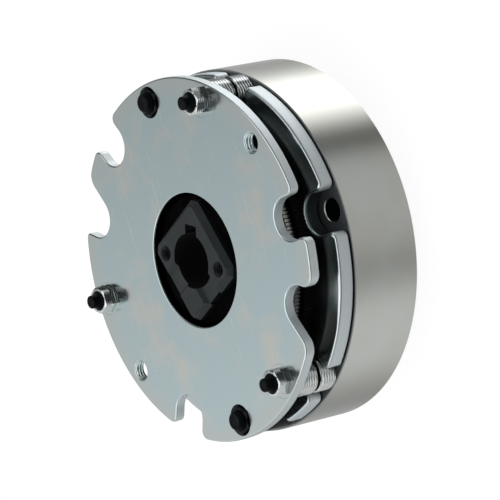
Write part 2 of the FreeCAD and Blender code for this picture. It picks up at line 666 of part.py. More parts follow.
def make_adjusting_sleeve(number, degrees):
    body = new_body("adjusting_sleeve_%d" % number)
    cylinder(body, "SleeveCollar", "@collar_radius", "@stator_depth + @bush_rim",
             "@sleeve_out - 2 * @bush_rim")
    cone(body, "SleeveFoot", "@collar_radius - @bush_rim", "@collar_radius", "@stator_depth", "@bush_rim")
    cone(body, "SleeveRim", "@collar_radius", "@collar_radius - @bush_rim",
         "@sleeve_end - @bush_rim", "@bush_rim")
    cylinder(body, "SleeveThread", "@bush_radius", "@sleeve_back", "@sleeve_in + @bush_root")
    cylinder(body, "SleeveBore", "@screw_radius + @thread_play", "@sleeve_back - @overcut",
             "@sleeve_in + @sleeve_out + 2 * @overcut", True)
    place_station(body, degrees, 0.0)
    return body


def make_screw(label, end, degrees, spin, pointed):
    """Build a socket head screw whose head lies sunk in the stator back."""
    body = new_body(label)
    cylinder(body, "ScrewHead", "@screw_head_radius", "@head_sink + @screw_bevel",
             "@screw_head_height - @screw_bevel")
    cone(body, "HeadEdge", "@screw_head_radius - @screw_bevel", "@screw_head_radius",
         "@head_sink", "@screw_bevel")
    cylinder(body, "ScrewShank", "@screw_radius", "@head_sink", "%s - @head_sink - @screw_bevel" % end)
    cone(body, "ScrewEnd", "@screw_radius", "@screw_radius - @screw_bevel",
         "%s - @screw_bevel" % end, "@screw_bevel")
    if pointed:
        cone(body, "PointTaper", "@screw_radius - @screw_bevel", "@point_radius", end, "@point_taper")
        cylinder(body, "PointPin", "@point_radius", end, "@point_length - @point_bevel")
        cone(body, "PointTip", "@point_radius", "@point_radius - @point_bevel",
             "%s + @point_length - @point_bevel" % end, "@point_bevel")
    hexagon(body, "HeadSocket", "@socket_flats", "@head_sink - @overcut", "@socket_depth + @overcut", True)
    place_station(body, degrees, spin)
    return body


def make_stop_tube(number, degrees, spin):
    body = new_body("stop_tube_%d" % number)
    cylinder(body, "TubeBody", "@stop_tube_radius", "@stator_depth", "@plate_back - @stator_depth")
    hexagon(body, "TubeHexagon", "@tube_hex", "@plate_back - @bush_root",
            "@bush_root + @plate_thickness + @stop_hex_end")
    cylinder(body, "TubeBore", "@screw_radius + @thread_play", "@stator_depth - @overcut",
             "@plate_front + @stop_hex_end - @stator_depth + 2 * @overcut", True)
    place_station(body, degrees, spin)
    return body


def make_coil_winding():
    body = new_body("coil_winding")
    height = "@cover_back - @coil_play - @winding_back"
    cylinder(body, "WindingRing", "@coil_outer - @coil_play", "@winding_back", height)
    cylinder(body, "WindingOpening", "@coil_inner + @coil_play", "@winding_back - @overcut",
             height + " + 2 * @overcut", True)
    return body


def make_coil_cover():
    body = new_body("coil_cover")
    cylinder(body, "CoverRing", "@coil_outer - @coil_play / 2", "@cover_back", "@cover_thickness")
    cylinder(body, "CoverOpening", "@coil_inner + @coil_play / 2", "@cover_back - @overcut",
             "@cover_thickness + 2 * @overcut", True)
    return body


def make_pressure_springs():
    body = new_body("pressure_springs")
    shape = new_sketch(body, "SpringShape", "@stator_depth - @spring_depth")
    add_circle(shape, "@spring_radius", "@spring_pitch")
    add_circle(shape, "@spring_radius - @spring_wire", "@spring_pitch")
    first = pad(body, "Spring", shape, "@spring_depth + @air_gap")
    polar(body, "Springs", first, "@spring_count")
    return body


def make_lead_grommet():
    body = new_body("lead_grommet")
    seat_radius = "@outer_radius - @grommet_depth"
    plug = cylinder(body, "GrommetPlug", "@grommet_radius", "0", "@grommet_depth - @grommet_sink")
    aim_outward(plug, seat_radius)
    passage = cylinder(body, "LeadPassage", "@grommet_hole_radius", "0", "@grommet_depth + @overcut", True)
    aim_outward(passage, seat_radius + " - @overcut")
    return body


make_flange_plate()
make_magnet_body()
make_armature_plate()
front_lining = make_front_lining()
make_rear_lining(front_lining)
make_rotor_carrier()
make_hub()
for station, place, spin in BUSH_STATIONS:
    make_flange_bush(station, place, spin)
    make_adjusting_sleeve(station, place)
    make_screw("cap_screw_%d" % station, "@screw_shoulder", place, spin, True)
for station, place, spin in STOP_STATIONS:
    make_stop_tube(station, place, spin)
    make_screw("stop_screw_%d" % station, "(@plate_front + @stop_end)", place, spin, False)
make_coil_winding()
make_coil_cover()
make_pressure_springs()
make_lead_grommet()
doc.recompute()

for item in doc.Objects:
    for flag in item.State:
        if flag in ("Invalid", "Error"):
            raise RuntimeError("%s is %s" % (item.Name, flag))
os.makedirs("parts", exist_ok=True)
for part in parts:
    shape = part.Shape
    if shape.isNull() or not shape.isValid():
        raise RuntimeError("%s has no valid shape" % part.Label)
    if not shape.Solids:
        raise RuntimeError("%s has no solid" % part.Label)
    shape.exportStep("parts/%s.step" % part.Label)
    print("%-20s solids %2d  volume %10.1f mm3" % (part.Label, len(shape.Solids), shape.Volume))
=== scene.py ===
"""Blender scene of a spring applied brake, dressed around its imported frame.

Lengths are millimetres until a mesh is made. The brake's axis is +Z, and the stator's
back face lies on z = 0.
"""

import logging
import math
from dataclasses import dataclass, replace
from enum import Enum
from typing import Callable, Sequence

import bmesh
import bpy
from mathutils import Matrix, Vector
from mathutils.geometry import tessellate_polygon


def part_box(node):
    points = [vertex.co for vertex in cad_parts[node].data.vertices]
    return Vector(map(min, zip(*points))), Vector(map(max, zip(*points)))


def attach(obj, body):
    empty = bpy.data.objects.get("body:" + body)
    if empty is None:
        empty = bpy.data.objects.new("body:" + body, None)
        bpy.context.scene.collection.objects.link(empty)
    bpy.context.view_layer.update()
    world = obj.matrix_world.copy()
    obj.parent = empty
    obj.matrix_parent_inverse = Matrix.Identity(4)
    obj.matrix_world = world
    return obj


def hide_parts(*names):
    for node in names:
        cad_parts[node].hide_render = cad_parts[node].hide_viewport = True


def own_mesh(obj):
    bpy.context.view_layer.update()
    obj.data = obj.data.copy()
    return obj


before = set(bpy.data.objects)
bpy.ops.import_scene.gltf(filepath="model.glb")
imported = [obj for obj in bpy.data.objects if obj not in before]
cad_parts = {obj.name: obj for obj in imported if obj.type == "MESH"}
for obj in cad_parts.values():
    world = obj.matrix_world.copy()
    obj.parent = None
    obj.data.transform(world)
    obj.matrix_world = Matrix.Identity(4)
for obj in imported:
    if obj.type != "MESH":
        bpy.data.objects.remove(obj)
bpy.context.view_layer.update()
LOG = logging.getLogger("brake")

Spot = tuple[float, float]
Point = tuple[float, float, float]
Colour = tuple[float, float, float]
Ring = list[Point]
Face = tuple[int, ...]
Radius = Callable[[float], float]
Socket = bpy.types.NodeSocket

MM = 0.001
FULL_TURN = 2.0 * math.pi

# Stations on the pitch circle, in degrees round the brake's axis.
PITCH_RADIUS = 65.0
BUSH_DEGREES = (60.0, 180.0, 300.0)
STOP_DEGREES = (90.0, 270.0)
TAPPED_DEGREES = (30.0, 210.0)

# Turn of each bush and stop about its own axis, in degrees.
BUSH_SPINS = (-6.0, -32.0, -11.0)
STOP_SPIN = 16.0

# A bush's thread roots get painted shade where the y of their normal is above this value.
BUSH_ROOT_SHADE = (-2.0, -2.0, 0.5)

# Places of the second finish, the painted shade of the thread roots, and the third finish that a
# bush is dressed with.
ROOT_SHADE_FINISH = 1
FACE_FINISH = 2

THREAD_PITCH = 1.25
RINGS_PER_PITCH = 10.0
OPENING_RADIUS = 31.0
HUB_BORE_REACH = 12.2
ARMATURE_NOTCH = 5.0

HUB_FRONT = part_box("hub")[1].z / MM
BARREL_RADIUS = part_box("magnet_body")[1].x / MM
POLE_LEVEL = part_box("magnet_body")[1].z / MM
ARMATURE_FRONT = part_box("armature_plate")[1].z / MM
NOTCH_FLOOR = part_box("armature_plate")[1].y / MM - ARMATURE_NOTCH
PLATE_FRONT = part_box("flange_plate")[1].z / MM
TOOTH_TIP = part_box("lining_front")[1].y / MM
LINING_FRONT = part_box("lining_front")[1].z / MM

# Tolerances for points read from a CAD mesh.
KEY_DIGITS = 4
LOOP_TOLERANCE = 0.001
FACE_TOLERANCE = 0.01

# A normal's share along the axis, from which a surface lies flat or stands upright.
LIES_FLAT = 0.75
STANDS_UPRIGHT = 0.25
END_FACE = 0.7

# What a scratch does to the roughness, the relief and the colour under it.
SCRATCH_ROUGHNESS = 0.14
SCRATCH_DEPTH = 0.8
SCRATCH_SHARE = 0.25
SCRATCH_COLOUR = (0.80, 0.84, 0.85, 1.0)

# The torn part of a punched wall: its depth, the slope above it and the lean of its light.
TEAR_DEPTH = 0.09
TEAR_SLOPE = 0.12
TEAR_LEAN = 0.6
PUNCHED_POINTS = 100

VECTOR = "NodeSocketVector"
FLOAT = "NodeSocketFloat"


class Grain(Enum):
    """Which way the tool marks of a surface run."""

    TURNED = "turned"
    ROLLED = "rolled"
    GRAINY = "grainy"


class Facing(Enum):
    """Which surfaces of a piece a zone takes in."""

    ALL = "all"
    WALLS = "walls"
    FLATS = "flats"


class Tree:
    """Short calls for building a shader node tree."""

    def __init__(self, tree: bpy.types.NodeTree) -> None:
        """Keep the tree that nodes are added to."""
        self.tree = tree

    def feed(self, made: bpy.types.Node, values: dict[int | str, object]) -> None:
        """Put values into a node's inputs.

        Args:
            made: The node.
            values: A number, a tuple or another node's output, by input name or number.
        """
        for slot, value in values.items():
            if isinstance(value, Socket):
                self.tree.links.new(value, made.inputs[slot])
            else:
                made.inputs[slot].default_value = value

    def node(self, kind: str, inputs: dict[int | str, object] | None = None,
             **settings: object) -> bpy.types.Node:
        """Add a node, set its properties and feed its inputs.

        Args:
            kind: The node's type name without its ShaderNode prefix.
            inputs: What its inputs get, by name or number.
            settings: Properties of the node, by name.

        Returns:
            The new node.
        """
        made = self.tree.nodes.new("ShaderNode" + kind)
        for key, value in settings.items():
            setattr(made, key, value)
        self.feed(made, inputs or {})
        return made

    def math(self, operation: str, *values: object) -> Socket:
        """Work out a number from numbers or outputs."""
        return self.node("Math", dict(enumerate(values)), operation=operation).outputs[0]

    def multiply(self, first: Socket, *others: Socket) -> Socket:
        """Multiply values one after the other."""
        for other in others:
            first = self.math("MULTIPLY", first, other)
        return first

    def split(self, vector: Socket) -> dict[str, Socket]:
        """Give the X, Y and Z outputs of a vector, by name."""
        made = self.node("SeparateXYZ", {0: vector})
        return {axis: made.outputs[axis] for axis in "XYZ"}

    def join(self, x: Socket, y: Socket) -> Socket:
        """Make a vector in the XY plane from two numbers."""
        return self.node("CombineXYZ", {"X": x, "Y": y}).outputs[0]

    def spread(self, value: object, low: object, high: object,
               bottom: float = 0.0, top: float = 1.0) -> Socket:
        """Map a value from low..high smoothly to bottom..top.

        Args:
            value: The number or output that is mapped.
            low: Value that gives bottom.
            high: Value that gives top.
            bottom: Result at low.
            top: Result at high.

        Returns:
            The mapped output.
        """
        limits = {"From Min": low, "From Max": high, "To Min": bottom, "To Max": top}
        made = self.node("MapRange", {"Value": value, **limits}, interpolation_type="SMOOTHSTEP")
        return made.outputs["Result"]

    def noise(self, vector: Socket, scale: float, detail: float, roughness: float) -> Socket:
        """Add a noise texture and give its value between 0 and 1."""
        look = {"Scale": scale, "Detail": detail, "Roughness": roughness}
        return self.node("TexNoise", {"Vector": vector, **look}).outputs["Fac"]

    def mix_value(self, factor: Socket, first: object, second: object) -> Socket:
        """Blend two numbers by a factor."""
        values = {"Factor": factor, 2: first, 3: second}
        return self.node("Mix", values, data_type="FLOAT").outputs[0]

    def mix(self, factor: Socket, first: object, second: object) -> Socket:
        """Blend two colours by a factor."""
        colours = {"Factor": factor, 6: first, 7: second}
        return self.node("Mix", colours, data_type="RGBA").outputs[2]

    def upright(self) -> Socket:
        """Give 1 where the surface stands upright and 0 where it lies flat."""
        along = self.split(self.node("TexCoord").outputs["Normal"])["Z"]
        return self.spread(self.math("ABSOLUTE", along), LIES_FLAT, STANDS_UPRIGHT)

    def seen_by_camera(self, plain: Socket, shown: Socket) -> Socket:
        """Choose one shader for the camera and a plain one for all other light."""
        ray = self.node("LightPath").outputs["Is Camera Ray"]
        return self.node("MixShader", {0: ray, 1: plain, 2: shown}).outputs[0]


def new_group(name: str, inputs: dict[str, tuple[str, object]],
              outputs: Sequence[str]) -> tuple[Tree, dict[str, Socket], bpy.types.Node]:
    """Make an empty shader node group.

    Args:
        name: The group's name.
        inputs: Socket type and default value of each input, by name.
        outputs: Names of its outputs, which are all numbers.

    Returns:
        The group's tree, its inputs by name and its output node.
    """
    group = bpy.data.node_groups.new(name, "ShaderNodeTree")
    for label, (kind, value) in inputs.items():
        socket = group.interface.new_socket(label, in_out="INPUT", socket_type=kind)
        if value is not None:
            socket.default_value = value
    for label in outputs:
        group.interface.new_socket(label, in_out="OUTPUT", socket_type=FLOAT)
    source, out = group.nodes.new("NodeGroupInput"), group.nodes.new("NodeGroupOutput")
    return Tree(group), {label: source.outputs[label] for label in inputs}, out


class Effects:
    """The surface effects that the brake's finishes share, each one node group."""

    wander = 0.8
    cloud_edges = (0.46, 0.70)
    scratch_runs = ((0.35, 1100.0), (1.05, 1500.0), (1.7, 1300.0), (2.3, 1200.0), (2.85, 1600.0))
    scratch_length = 45.0
    scratch_level = 0.78
    scratch_gain = 0.12
    scratch_edge = 0.06

    def __init__(self) -> None:
        """Build every group once."""
        self.marks = self.make_marks()
        self.blotches = self.make_blotches()
        self.scratches = self.make_scratches()

    def make_marks(self) -> bpy.types.NodeTree:
        """Make the tool marks round the brake's axis, as left by a lathe.

        Returns:
            The group, with Side for walls and Face for end faces.
        """
        inputs = {"Position": (VECTOR, None), "Fineness": (FLOAT, 2500.0)}
        tree, given, out = new_group("lathe_marks", inputs, ("Side", "Face"))
        axes = tree.split(given["Position"])
        around = tree.math("ARCTAN2", axes["Y"], axes["X"])
        squares = [tree.math("POWER", axes[axis], 2.0) for axis in "XY"]
        radius = tree.math("POWER", tree.math("ADD", *squares), 0.5)
        for label, along in (("Side", axes["Z"]), ("Face", radius)):
            place = tree.join(tree.math("MULTIPLY", along, given["Fineness"]),
                              tree.math("MULTIPLY", around, self.wander))
            tree.feed(out, {label: tree.noise(place, scale=1.0, detail=4.0, roughness=0.65)})
        return tree.tree

    def make_blotches(self) -> bpy.types.NodeTree:
        """Make the soft cloudy patches of a plated or oxidised skin.

        Returns:
            The group, with the patches as Mask and a fine grain as Fine, from 0 to 1.
        """
        inputs = {"Position": (VECTOR, None), "Size": (FLOAT, 60.0)}
        tree, given, out = new_group("skin_blotches", inputs, ("Mask", "Fine"))
        sized = {0: given["Position"], "Scale": given["Size"]}
        scaled = tree.node("VectorMath", sized, operation="SCALE").outputs[0]
        cloud = tree.noise(scaled, scale=1.0, detail=3.0, roughness=0.6)
        tree.feed(out, {"Mask": tree.spread(cloud, *self.cloud_edges),
                        "Fine": tree.noise(scaled, scale=14.0, detail=4.0, roughness=0.7)})
        return tree.tree

    def make_scratches(self) -> bpy.types.NodeTree:
        """Make fine hairline scratches that run in five directions.

        Returns:
            The group, whose Mask is 1 on a scratch.
        """
        inputs = {"Position": (VECTOR, None), "Density": (FLOAT, 0.5)}
        tree, given, out = new_group("hairlines", inputs, ("Mask",))
        gained = tree.math("MULTIPLY", given["Density"], self.scratch_gain)
        low = tree.math("SUBTRACT", self.scratch_level, gained)
        high = tree.math("ADD", low, self.scratch_edge)
        total: object = 0.0
        for turn, fineness in self.scratch_runs:
            along = fineness / self.scratch_length
            run = tree.node("Mapping", {"Vector": given["Position"], "Rotation": (0.0, 0.0, turn),
                                        "Scale": (fineness, along, along)}).outputs[0]
            line = tree.noise(run, scale=1.0, detail=2.0, roughness=0.5)
            total = tree.math("MAXIMUM", total, tree.spread(line, low, high))
        tree.feed(out, {"Mask": total})
        return tree.tree


@dataclass(frozen=True)
class Zone:
    """A region of a piece with a look of its own, by radius and height in millimetres."""

    colour: Colour
    roughness: float
    inner: float = -1.0
    outer: float = 500.0
    bottom: float = -1.0
    top: float = 500.0
    soft: float = 0.05
    facing: Facing = Facing.ALL

    def mask(self, tree: Tree, place: Socket) -> Socket:
        """Give 1 inside the region and 0 outside, with its soft border.

        Args:
            tree: The material's tree.
            place: The position on the piece.

        Returns:
            The mask.
        """
        axes = tree.split(place)
        flat = tree.join(axes["X"], axes["Y"])
        radius = tree.node("VectorMath", {0: flat}, operation="LENGTH").outputs["Value"]
        parts = []
        for value, low, high in ((radius, self.inner, self.outer),
                                 (axes["Z"], self.bottom, self.top)):
            rising = tree.spread(value, (low - self.soft) * MM, (low + self.soft) * MM)
            falling = tree.spread(value, (high + self.soft) * MM, (high - self.soft) * MM)
            parts.append(tree.multiply(rising, falling))
        if self.facing is Facing.WALLS:
            parts.append(tree.upright())
        if self.facing is Facing.FLATS:
            parts.append(tree.math("SUBTRACT", 1.0, tree.upright()))
        return tree.multiply(*parts)


@dataclass(frozen=True)
class Finish:
    """One finish of the brake: two colours that blotch into each other, and its gloss."""

    name: str
    colour: Colour
    second: Colour
    roughness: float
    metallic: float = 1.0
    rough_swing: float = 0.06
    grain: Grain = Grain.TURNED
    grain_size: float = 2500.0
    bump: float = 0.00001
    blotch_size: float = 60.0
    scratch_amount: float = 0.0
    anisotropy: float = 0.0
    specular: float = 0.5
    wall_colour: Colour | None = None
    wall_roughness: float = 0.60
    wall_swing: float = 0.16
    zones: tuple[Zone, ...] = ()

    def build(self, effects: Effects) -> bpy.types.Material:
        """Make the Blender material of this finish.

        Args:
            effects: The shared node groups.

        Returns:
            The material.
        """
        material = bpy.data.materials.new(self.name)
        material.use_nodes = True
        tree = Tree(material.node_tree)
        place = tree.node("TexCoord").outputs["Object"]
        blotches = tree.node("Group", {"Position": place, "Size": self.blotch_size},
                             node_tree=effects.blotches)
        fine = blotches.outputs["Fine"]
        height = marks = self.mark_height(tree, effects, place, fine)
        colour = tree.mix(blotches.outputs["Mask"], (*self.colour, 1.0), (*self.second, 1.0))
        rough = tree.math("MULTIPLY_ADD", marks, self.rough_swing,
                          self.roughness - self.rough_swing / 2.0)
        if self.scratch_amount > 0.0:
            scratches = tree.node("Group", {"Position": place, "Density": self.scratch_amount},
                                  node_tree=effects.scratches).outputs["Mask"]
            rough = tree.math("MULTIPLY_ADD", scratches, SCRATCH_ROUGHNESS, rough)
            height = tree.math("MULTIPLY_ADD", scratches, -SCRATCH_DEPTH, marks)
            share = tree.math("MULTIPLY", scratches, SCRATCH_SHARE)
            colour = tree.mix(share, colour, SCRATCH_COLOUR)
        if self.wall_colour is not None:
            upright = tree.upright()
            wall = tree.math("MULTIPLY_ADD", fine, self.wall_swing,
                             self.wall_roughness - self.wall_swing / 2.0)
            rough = tree.mix_value(upright, rough, wall)
            colour = tree.mix(upright, colour, (*self.wall_colour, 1.0))
        for zone in self.zones:
            inside = zone.mask(tree, place)
            rough = tree.mix_value(inside, rough, zone.roughness)
            colour = tree.mix(inside, colour, (*zone.colour, 1.0))
        relief = tree.node("Bump", {"Strength": 1.0, "Distance": self.bump, "Height": height})
        shader = material.node_tree.nodes["Principled BSDF"]
        tree.feed(shader, {"Base Color": colour, "Roughness": rough, "Metallic": self.metallic,
                           "Specular IOR Level": self.specular, "Normal": relief.outputs["Normal"]})
        if self.anisotropy > 0.0:
            around = tree.node("Tangent", direction_type="RADIAL", axis="Z").outputs[0]
            tree.feed(shader, {"Anisotropic": self.anisotropy, "Tangent": around})
        return material

    def mark_height(self, tree: Tree, effects: Effects, place: Socket, fine: Socket) -> Socket:
        """Choose the fine relief that the grain asks for.

        Args:
            tree: The material's tree.
            effects: The shared node groups.
            place: The position on the piece.
            fine: The fine part of the blotches.

        Returns:
            A value from 0 to 1.
        """
        if self.grain is Grain.GRAINY:
            return fine
        if self.grain is Grain.ROLLED:
            return tree.noise(place, self.grain_size, detail=4.0, roughness=0.6)
        marks = tree.node("Group", {"Position": place, "Fineness": self.grain_size},
                          node_tree=effects.marks)
        along = tree.split(tree.node("NewGeometry").outputs["True Normal"])["Z"]
        flat = tree.math("GREATER_THAN", tree.math("ABSOLUTE", along), END_FACE)
        return tree.mix_value(flat, marks.outputs["Side"], marks.outputs["Face"])


CUT_ZINC = (0.75, 0.80, 0.81)
FRICTION = Finish("friction", (0.004, 0.004, 0.004), (0.008, 0.008, 0.007), 0.45, metallic=0.0,
                  grain=Grain.GRAINY, blotch_size=300.0, bump=0.00003, specular=0.2)

FINISHES = (
    Finish("zinc_plate", (0.550, 0.660, 0.678), (0.665, 0.680, 0.640), 0.155,
           grain=Grain.ROLLED, grain_size=1500.0, bump=0.000006, scratch_amount=0.74,
           blotch_size=45.0, wall_colour=CUT_ZINC,
           zones=(Zone((0.60, 0.655, 0.640), 0.19, inner=66.0, soft=5.0, facing=Facing.FLATS),
                  # painted shade: the wall of the central opening is near black
                  Zone((0.004, 0.004, 0.004), 0.6, outer=OPENING_RADIUS, top=PLATE_FRONT - 0.75,
                       facing=Facing.WALLS))),
    Finish("zinc_armature", (0.60, 0.67, 0.69), (0.66, 0.70, 0.70), 0.22,
           grain=Grain.ROLLED, grain_size=1500.0, scratch_amount=0.3, wall_colour=CUT_ZINC,
           # painted shade on the walls of the notches
           zones=(Zone((0.13, 0.145, 0.15), 0.40, outer=NOTCH_FLOOR, soft=1.2,
                       facing=Facing.WALLS),
                  # painted reflection of the dark lining, with painted shade, on the front face
                  # under the rotor
                  Zone((0.03, 0.034, 0.036), 0.30, outer=NOTCH_FLOOR - 1.5,
                       bottom=ARMATURE_FRONT - 0.3, soft=0.6))),
    Finish("turned_steel", (0.62, 0.625, 0.570), (0.65, 0.665, 0.628), 0.26,
           anisotropy=0.3, blotch_size=25.0,
           # painted shade on the pole face
           zones=(Zone((0.16, 0.175, 0.185), 0.50, bottom=POLE_LEVEL - 0.08, soft=0.02),
                  # painted shade, lighter than on the pole face, on the front edge band
                  Zone((0.36, 0.37, 0.36), 0.50, inner=BARREL_RADIUS - 0.6,
                       bottom=POLE_LEVEL - 0.32, soft=0.02),
                  # painted shade on the inner walls below the pole face
                  Zone((0.07, 0.075, 0.08), 0.4, outer=BARREL_RADIUS - 0.8, bottom=1.0,
                       top=POLE_LEVEL - 0.5))),
    Finish("zinc_bush", (0.66, 0.69, 0.68), (0.71, 0.70, 0.66), 0.12, grain=Grain.ROLLED,
           bump=0.000003),
    # painted shade: the dark colour that the thread roots of bushes and sleeves get
    Finish("thread_root_shade", (0.13, 0.14, 0.14), (0.18, 0.18, 0.17), 0.34, grain=Grain.ROLLED),
    Finish("black_screw", (0.002, 0.003, 0.004), (0.007, 0.010, 0.011), 0.32, metallic=0.0,
           grain=Grain.GRAINY, blotch_size=220.0, bump=0.00006, specular=0.05),
    Finish("black_tube", (0.003, 0.004, 0.005), (0.008, 0.010, 0.011), 0.28, metallic=0.0,
           grain=Grain.GRAINY, specular=0.12),
    Finish("black_hub", (0.021, 0.026, 0.028), (0.028, 0.033, 0.034), 0.42, metallic=0.5,
           grain=Grain.GRAINY, blotch_size=120.0,
           # painted shade on the walls of the bore
           zones=(Zone((0.001, 0.001, 0.001), 0.9, outer=HUB_BORE_REACH, top=HUB_FRONT - 0.2,
                       facing=Facing.WALLS),)),
    FRICTION,
    # painted highlight: the tooth crests near the lining's front are a bright mirror band
    replace(FRICTION, name="front_friction_highlight", metallic=1.0,
            zones=(Zone((0.95, 0.93, 0.88), 0.26, inner=TOOTH_TIP - 0.5,
                        bottom=LINING_FRONT - 3.2, top=LINING_FRONT - 0.9, soft=0.35),)),
    Finish("hub_thread", (0.055, 0.062, 0.065), (0.080, 0.086, 0.086), 0.30, metallic=0.7,
           grain=Grain.GRAINY),
    # the carrier's own dark colour, deepened into painted shade with no sheen
    Finish("dark_carrier", (0.002, 0.002, 0.002), (0.004, 0.004, 0.004), 0.55, metallic=0.0,
           grain=Grain.GRAINY, specular=0.0),
    Finish("copper", (0.80, 0.38, 0.22), (0.70, 0.30, 0.16), 0.32),
    Finish("resin", (0.055, 0.050, 0.045), (0.080, 0.072, 0.064), 0.42, metallic=0.0,
           grain=Grain.GRAINY),
    Finish("spring_steel", (0.42, 0.42, 0.41), (0.50, 0.50, 0.48), 0.30, grain=Grain.ROLLED),
    Finish("rubber", (0.020, 0.020, 0.021), (0.030, 0.030, 0.031), 0.60, metallic=0.0,
           grain=Grain.GRAINY),
)


class Wardrobe:
    """Hands out each finish's material, made once."""

    def __init__(self) -> None:
        """Build the shared effects and every material."""
        effects = Effects()
        self.materials = {finish.name: finish.build(effects) for finish in FINISHES}

    def dress(self, piece: bpy.types.Object, *names: str) -> None:
        """Give a piece its finishes, the first one all over until faces are told otherwise."""
        piece.data.materials.clear()
        for name in names:
            piece.data.materials.append(self.materials[name])


def put(name: str, data: bpy.types.ID) -> bpy.types.Object:
    """Make an object that shows some data, and link it to the scene."""
    made = bpy.data.objects.new(name, data)
    bpy.context.scene.collection.objects.link(made)
    return made


def raw_mesh(name: str, points: Sequence[Point], faces: Sequence[Sequence[int]]) -> bpy.types.Mesh:
    """Make a mesh from points in millimetres."""
    mesh = bpy.data.meshes.new(name)
    mesh.from_pydata([(x * MM, y * MM, z * MM) for x, y, z in points], [], faces)
    return mesh


def smooth_by_angle(mesh: bpy.types.Mesh, degrees: float) -> None:
    """Shade a mesh smooth, with sharp edges where faces meet at more than an angle.

    Args:
        mesh: The mesh.
        degrees: Largest angle between faces that still looks round.
    """
    work = bmesh.new()
    work.from_mesh(mesh)
    limit = math.radians(degrees)
    for face in work.faces:
        face.smooth = True
    for edge in work.edges:
        edge.smooth = len(edge.link_faces) == 2 and edge.calc_face_angle(0.0) < limit
    work.to_mesh(mesh)
    work.free()


def make_piece(name: str, points: Sequence[Point], faces: Sequence[Sequence[int]],
               degrees: float = 32.0) -> bpy.types.Object:
    """Make a mesh object from points in millimetres.

    Args:
        name: The piece's name.
        points: Its corners.
        faces: Corner numbers of each face.
        degrees: Angle above which an edge stays sharp.

    Returns:
        The object, linked to the scene.
    """
    mesh = raw_mesh(name, points, faces)
    mesh.validate()
    smooth_by_angle(mesh, degrees)
    return put(name, mesh)


def ring(radius: Radius, level: float, count: int) -> Ring:
    """Lay one closed ring of points round the Z axis.

    Args:
        radius: Radius at an angle in radians.
        level: Height of the ring.
        count: Number of points.

    Returns:
        The points.
    """
    turns = [FULL_TURN * step / count for step in range(count)]
    return [(radius(turn) * math.cos(turn), radius(turn) * math.sin(turn), level)
            for turn in turns]


def circles(count: int, *steps: Spot) -> list[Ring]:
    """Lay round rings of a number of points, each given by its radius and height."""
    return [ring(lambda turn, size=size: size, level, count) for size, level in steps]


def join_rings(rings: Sequence[Ring], closed: bool = False) -> tuple[list[Point], list[Face]]:
    """Skin rings of equal length, in order.

    Args:
        rings: The rings. A ring of one point closes an end.
        closed: Whether the last ring joins the first.

    Returns:
        Points and faces.
    """
    points: list[Point] = []
    starts: list[int] = []
    for each in rings:
        starts.append(len(points))
        points.extend(each)
    pairs = [(number, number + 1) for number in range(len(rings) - 1)]
    if closed:
        pairs.append((len(rings) - 1, 0))
    faces: list[Face] = []
    for low, high in pairs:
        count = max(len(rings[low]), len(rings[high]))
        below, above = starts[low], starts[high]
        for step in range(count):
            after = (step + 1) % count
            if len(rings[low]) == 1:
                faces.append((below, above + after, above + step))
            elif len(rings[high]) == 1:
                faces.append((below + step, below + after, above))
            else:
                faces.append((below + step, below + after, above + after, above + step))
    return points, faces


def hexagon(flats: float) -> Radius:
    """Give a hexagon as a radius that depends on the angle.

    Args:
        flats: Width across flats.

    Returns:
        The radius function.
    """
    def radius(turn: float) -> float:
        """Distance from the centre to the hexagon at one angle."""
        return flats / 2.0 / math.cos(turn % (math.pi / 3.0) - math.pi / 6.0)
    return radius


@dataclass
class Thread:
    """A screw thread with plain flanks, given by its outside radius, pitch and depth."""

    radius: float
    pitch: float
    depth: float
    flank: float = 0.70
    root: float = 0.12

    def at(self, turn: float, level: float) -> float:
        """Radius of the thread at an angle and a height.

        Args:
            turn: Angle in radians.
            level: Height in millimetres.

        Returns:
            The radius there.
        """
        phase = (level / self.pitch - turn / FULL_TURN) % 1.0
        ramp = min(1.0, max(0.0, (abs(phase - 0.5) * 2.0 - self.root) / self.flank))
        return self.radius - self.depth * (1.0 - ramp)


def levels(bottom: float, top: float, pitch: float) -> list[float]:
    """Space heights evenly from bottom to top, ten to a thread's pitch."""
    count = max(1, round((top - bottom) / (pitch / RINGS_PER_PITCH)))
    return [bottom + (top - bottom) * number / count for number in range(count + 1)]


def station(degrees: float) -> Spot:
    """Give the centre of a station on the pitch circle."""
    side = math.radians(degrees)
    return PITCH_RADIUS * math.cos(side), PITCH_RADIUS * math.sin(side)


def at_station(points: Sequence[Point], degrees: float, spin: float = 0.0) -> list[Point]:
    """Turn points about their own axis and move them to a station on the pitch circle.

    Args:
        points: Points round the Z axis.
        degrees: Angle of the station.
        spin: Turn about the own axis, in degrees.

    Returns:
        The moved points.
    """
    own = math.radians(spin)
    across, along = station(degrees)
    return [(across + x * math.cos(own) - y * math.sin(own),
             along + x * math.sin(own) + y * math.cos(own), z) for x, y, z in points]


def node_span(node: str) -> Spot:
    """Lowest and highest point of a CAD node along the brake's axis, in millimetres."""
    low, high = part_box(node)
    return low.z / MM, high.z / MM


def stand_for(piece: bpy.types.Object, body: str, nodes: Sequence[str]) -> None:
    """Ride a piece on its body, in place of CAD nodes if any are given.

    Args:
        piece: The new piece.
        body: Name of the CAD body it moves with.
        nodes: CAD nodes that it stands for.
    """
    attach(piece, body)
    if nodes:
        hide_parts(*nodes)


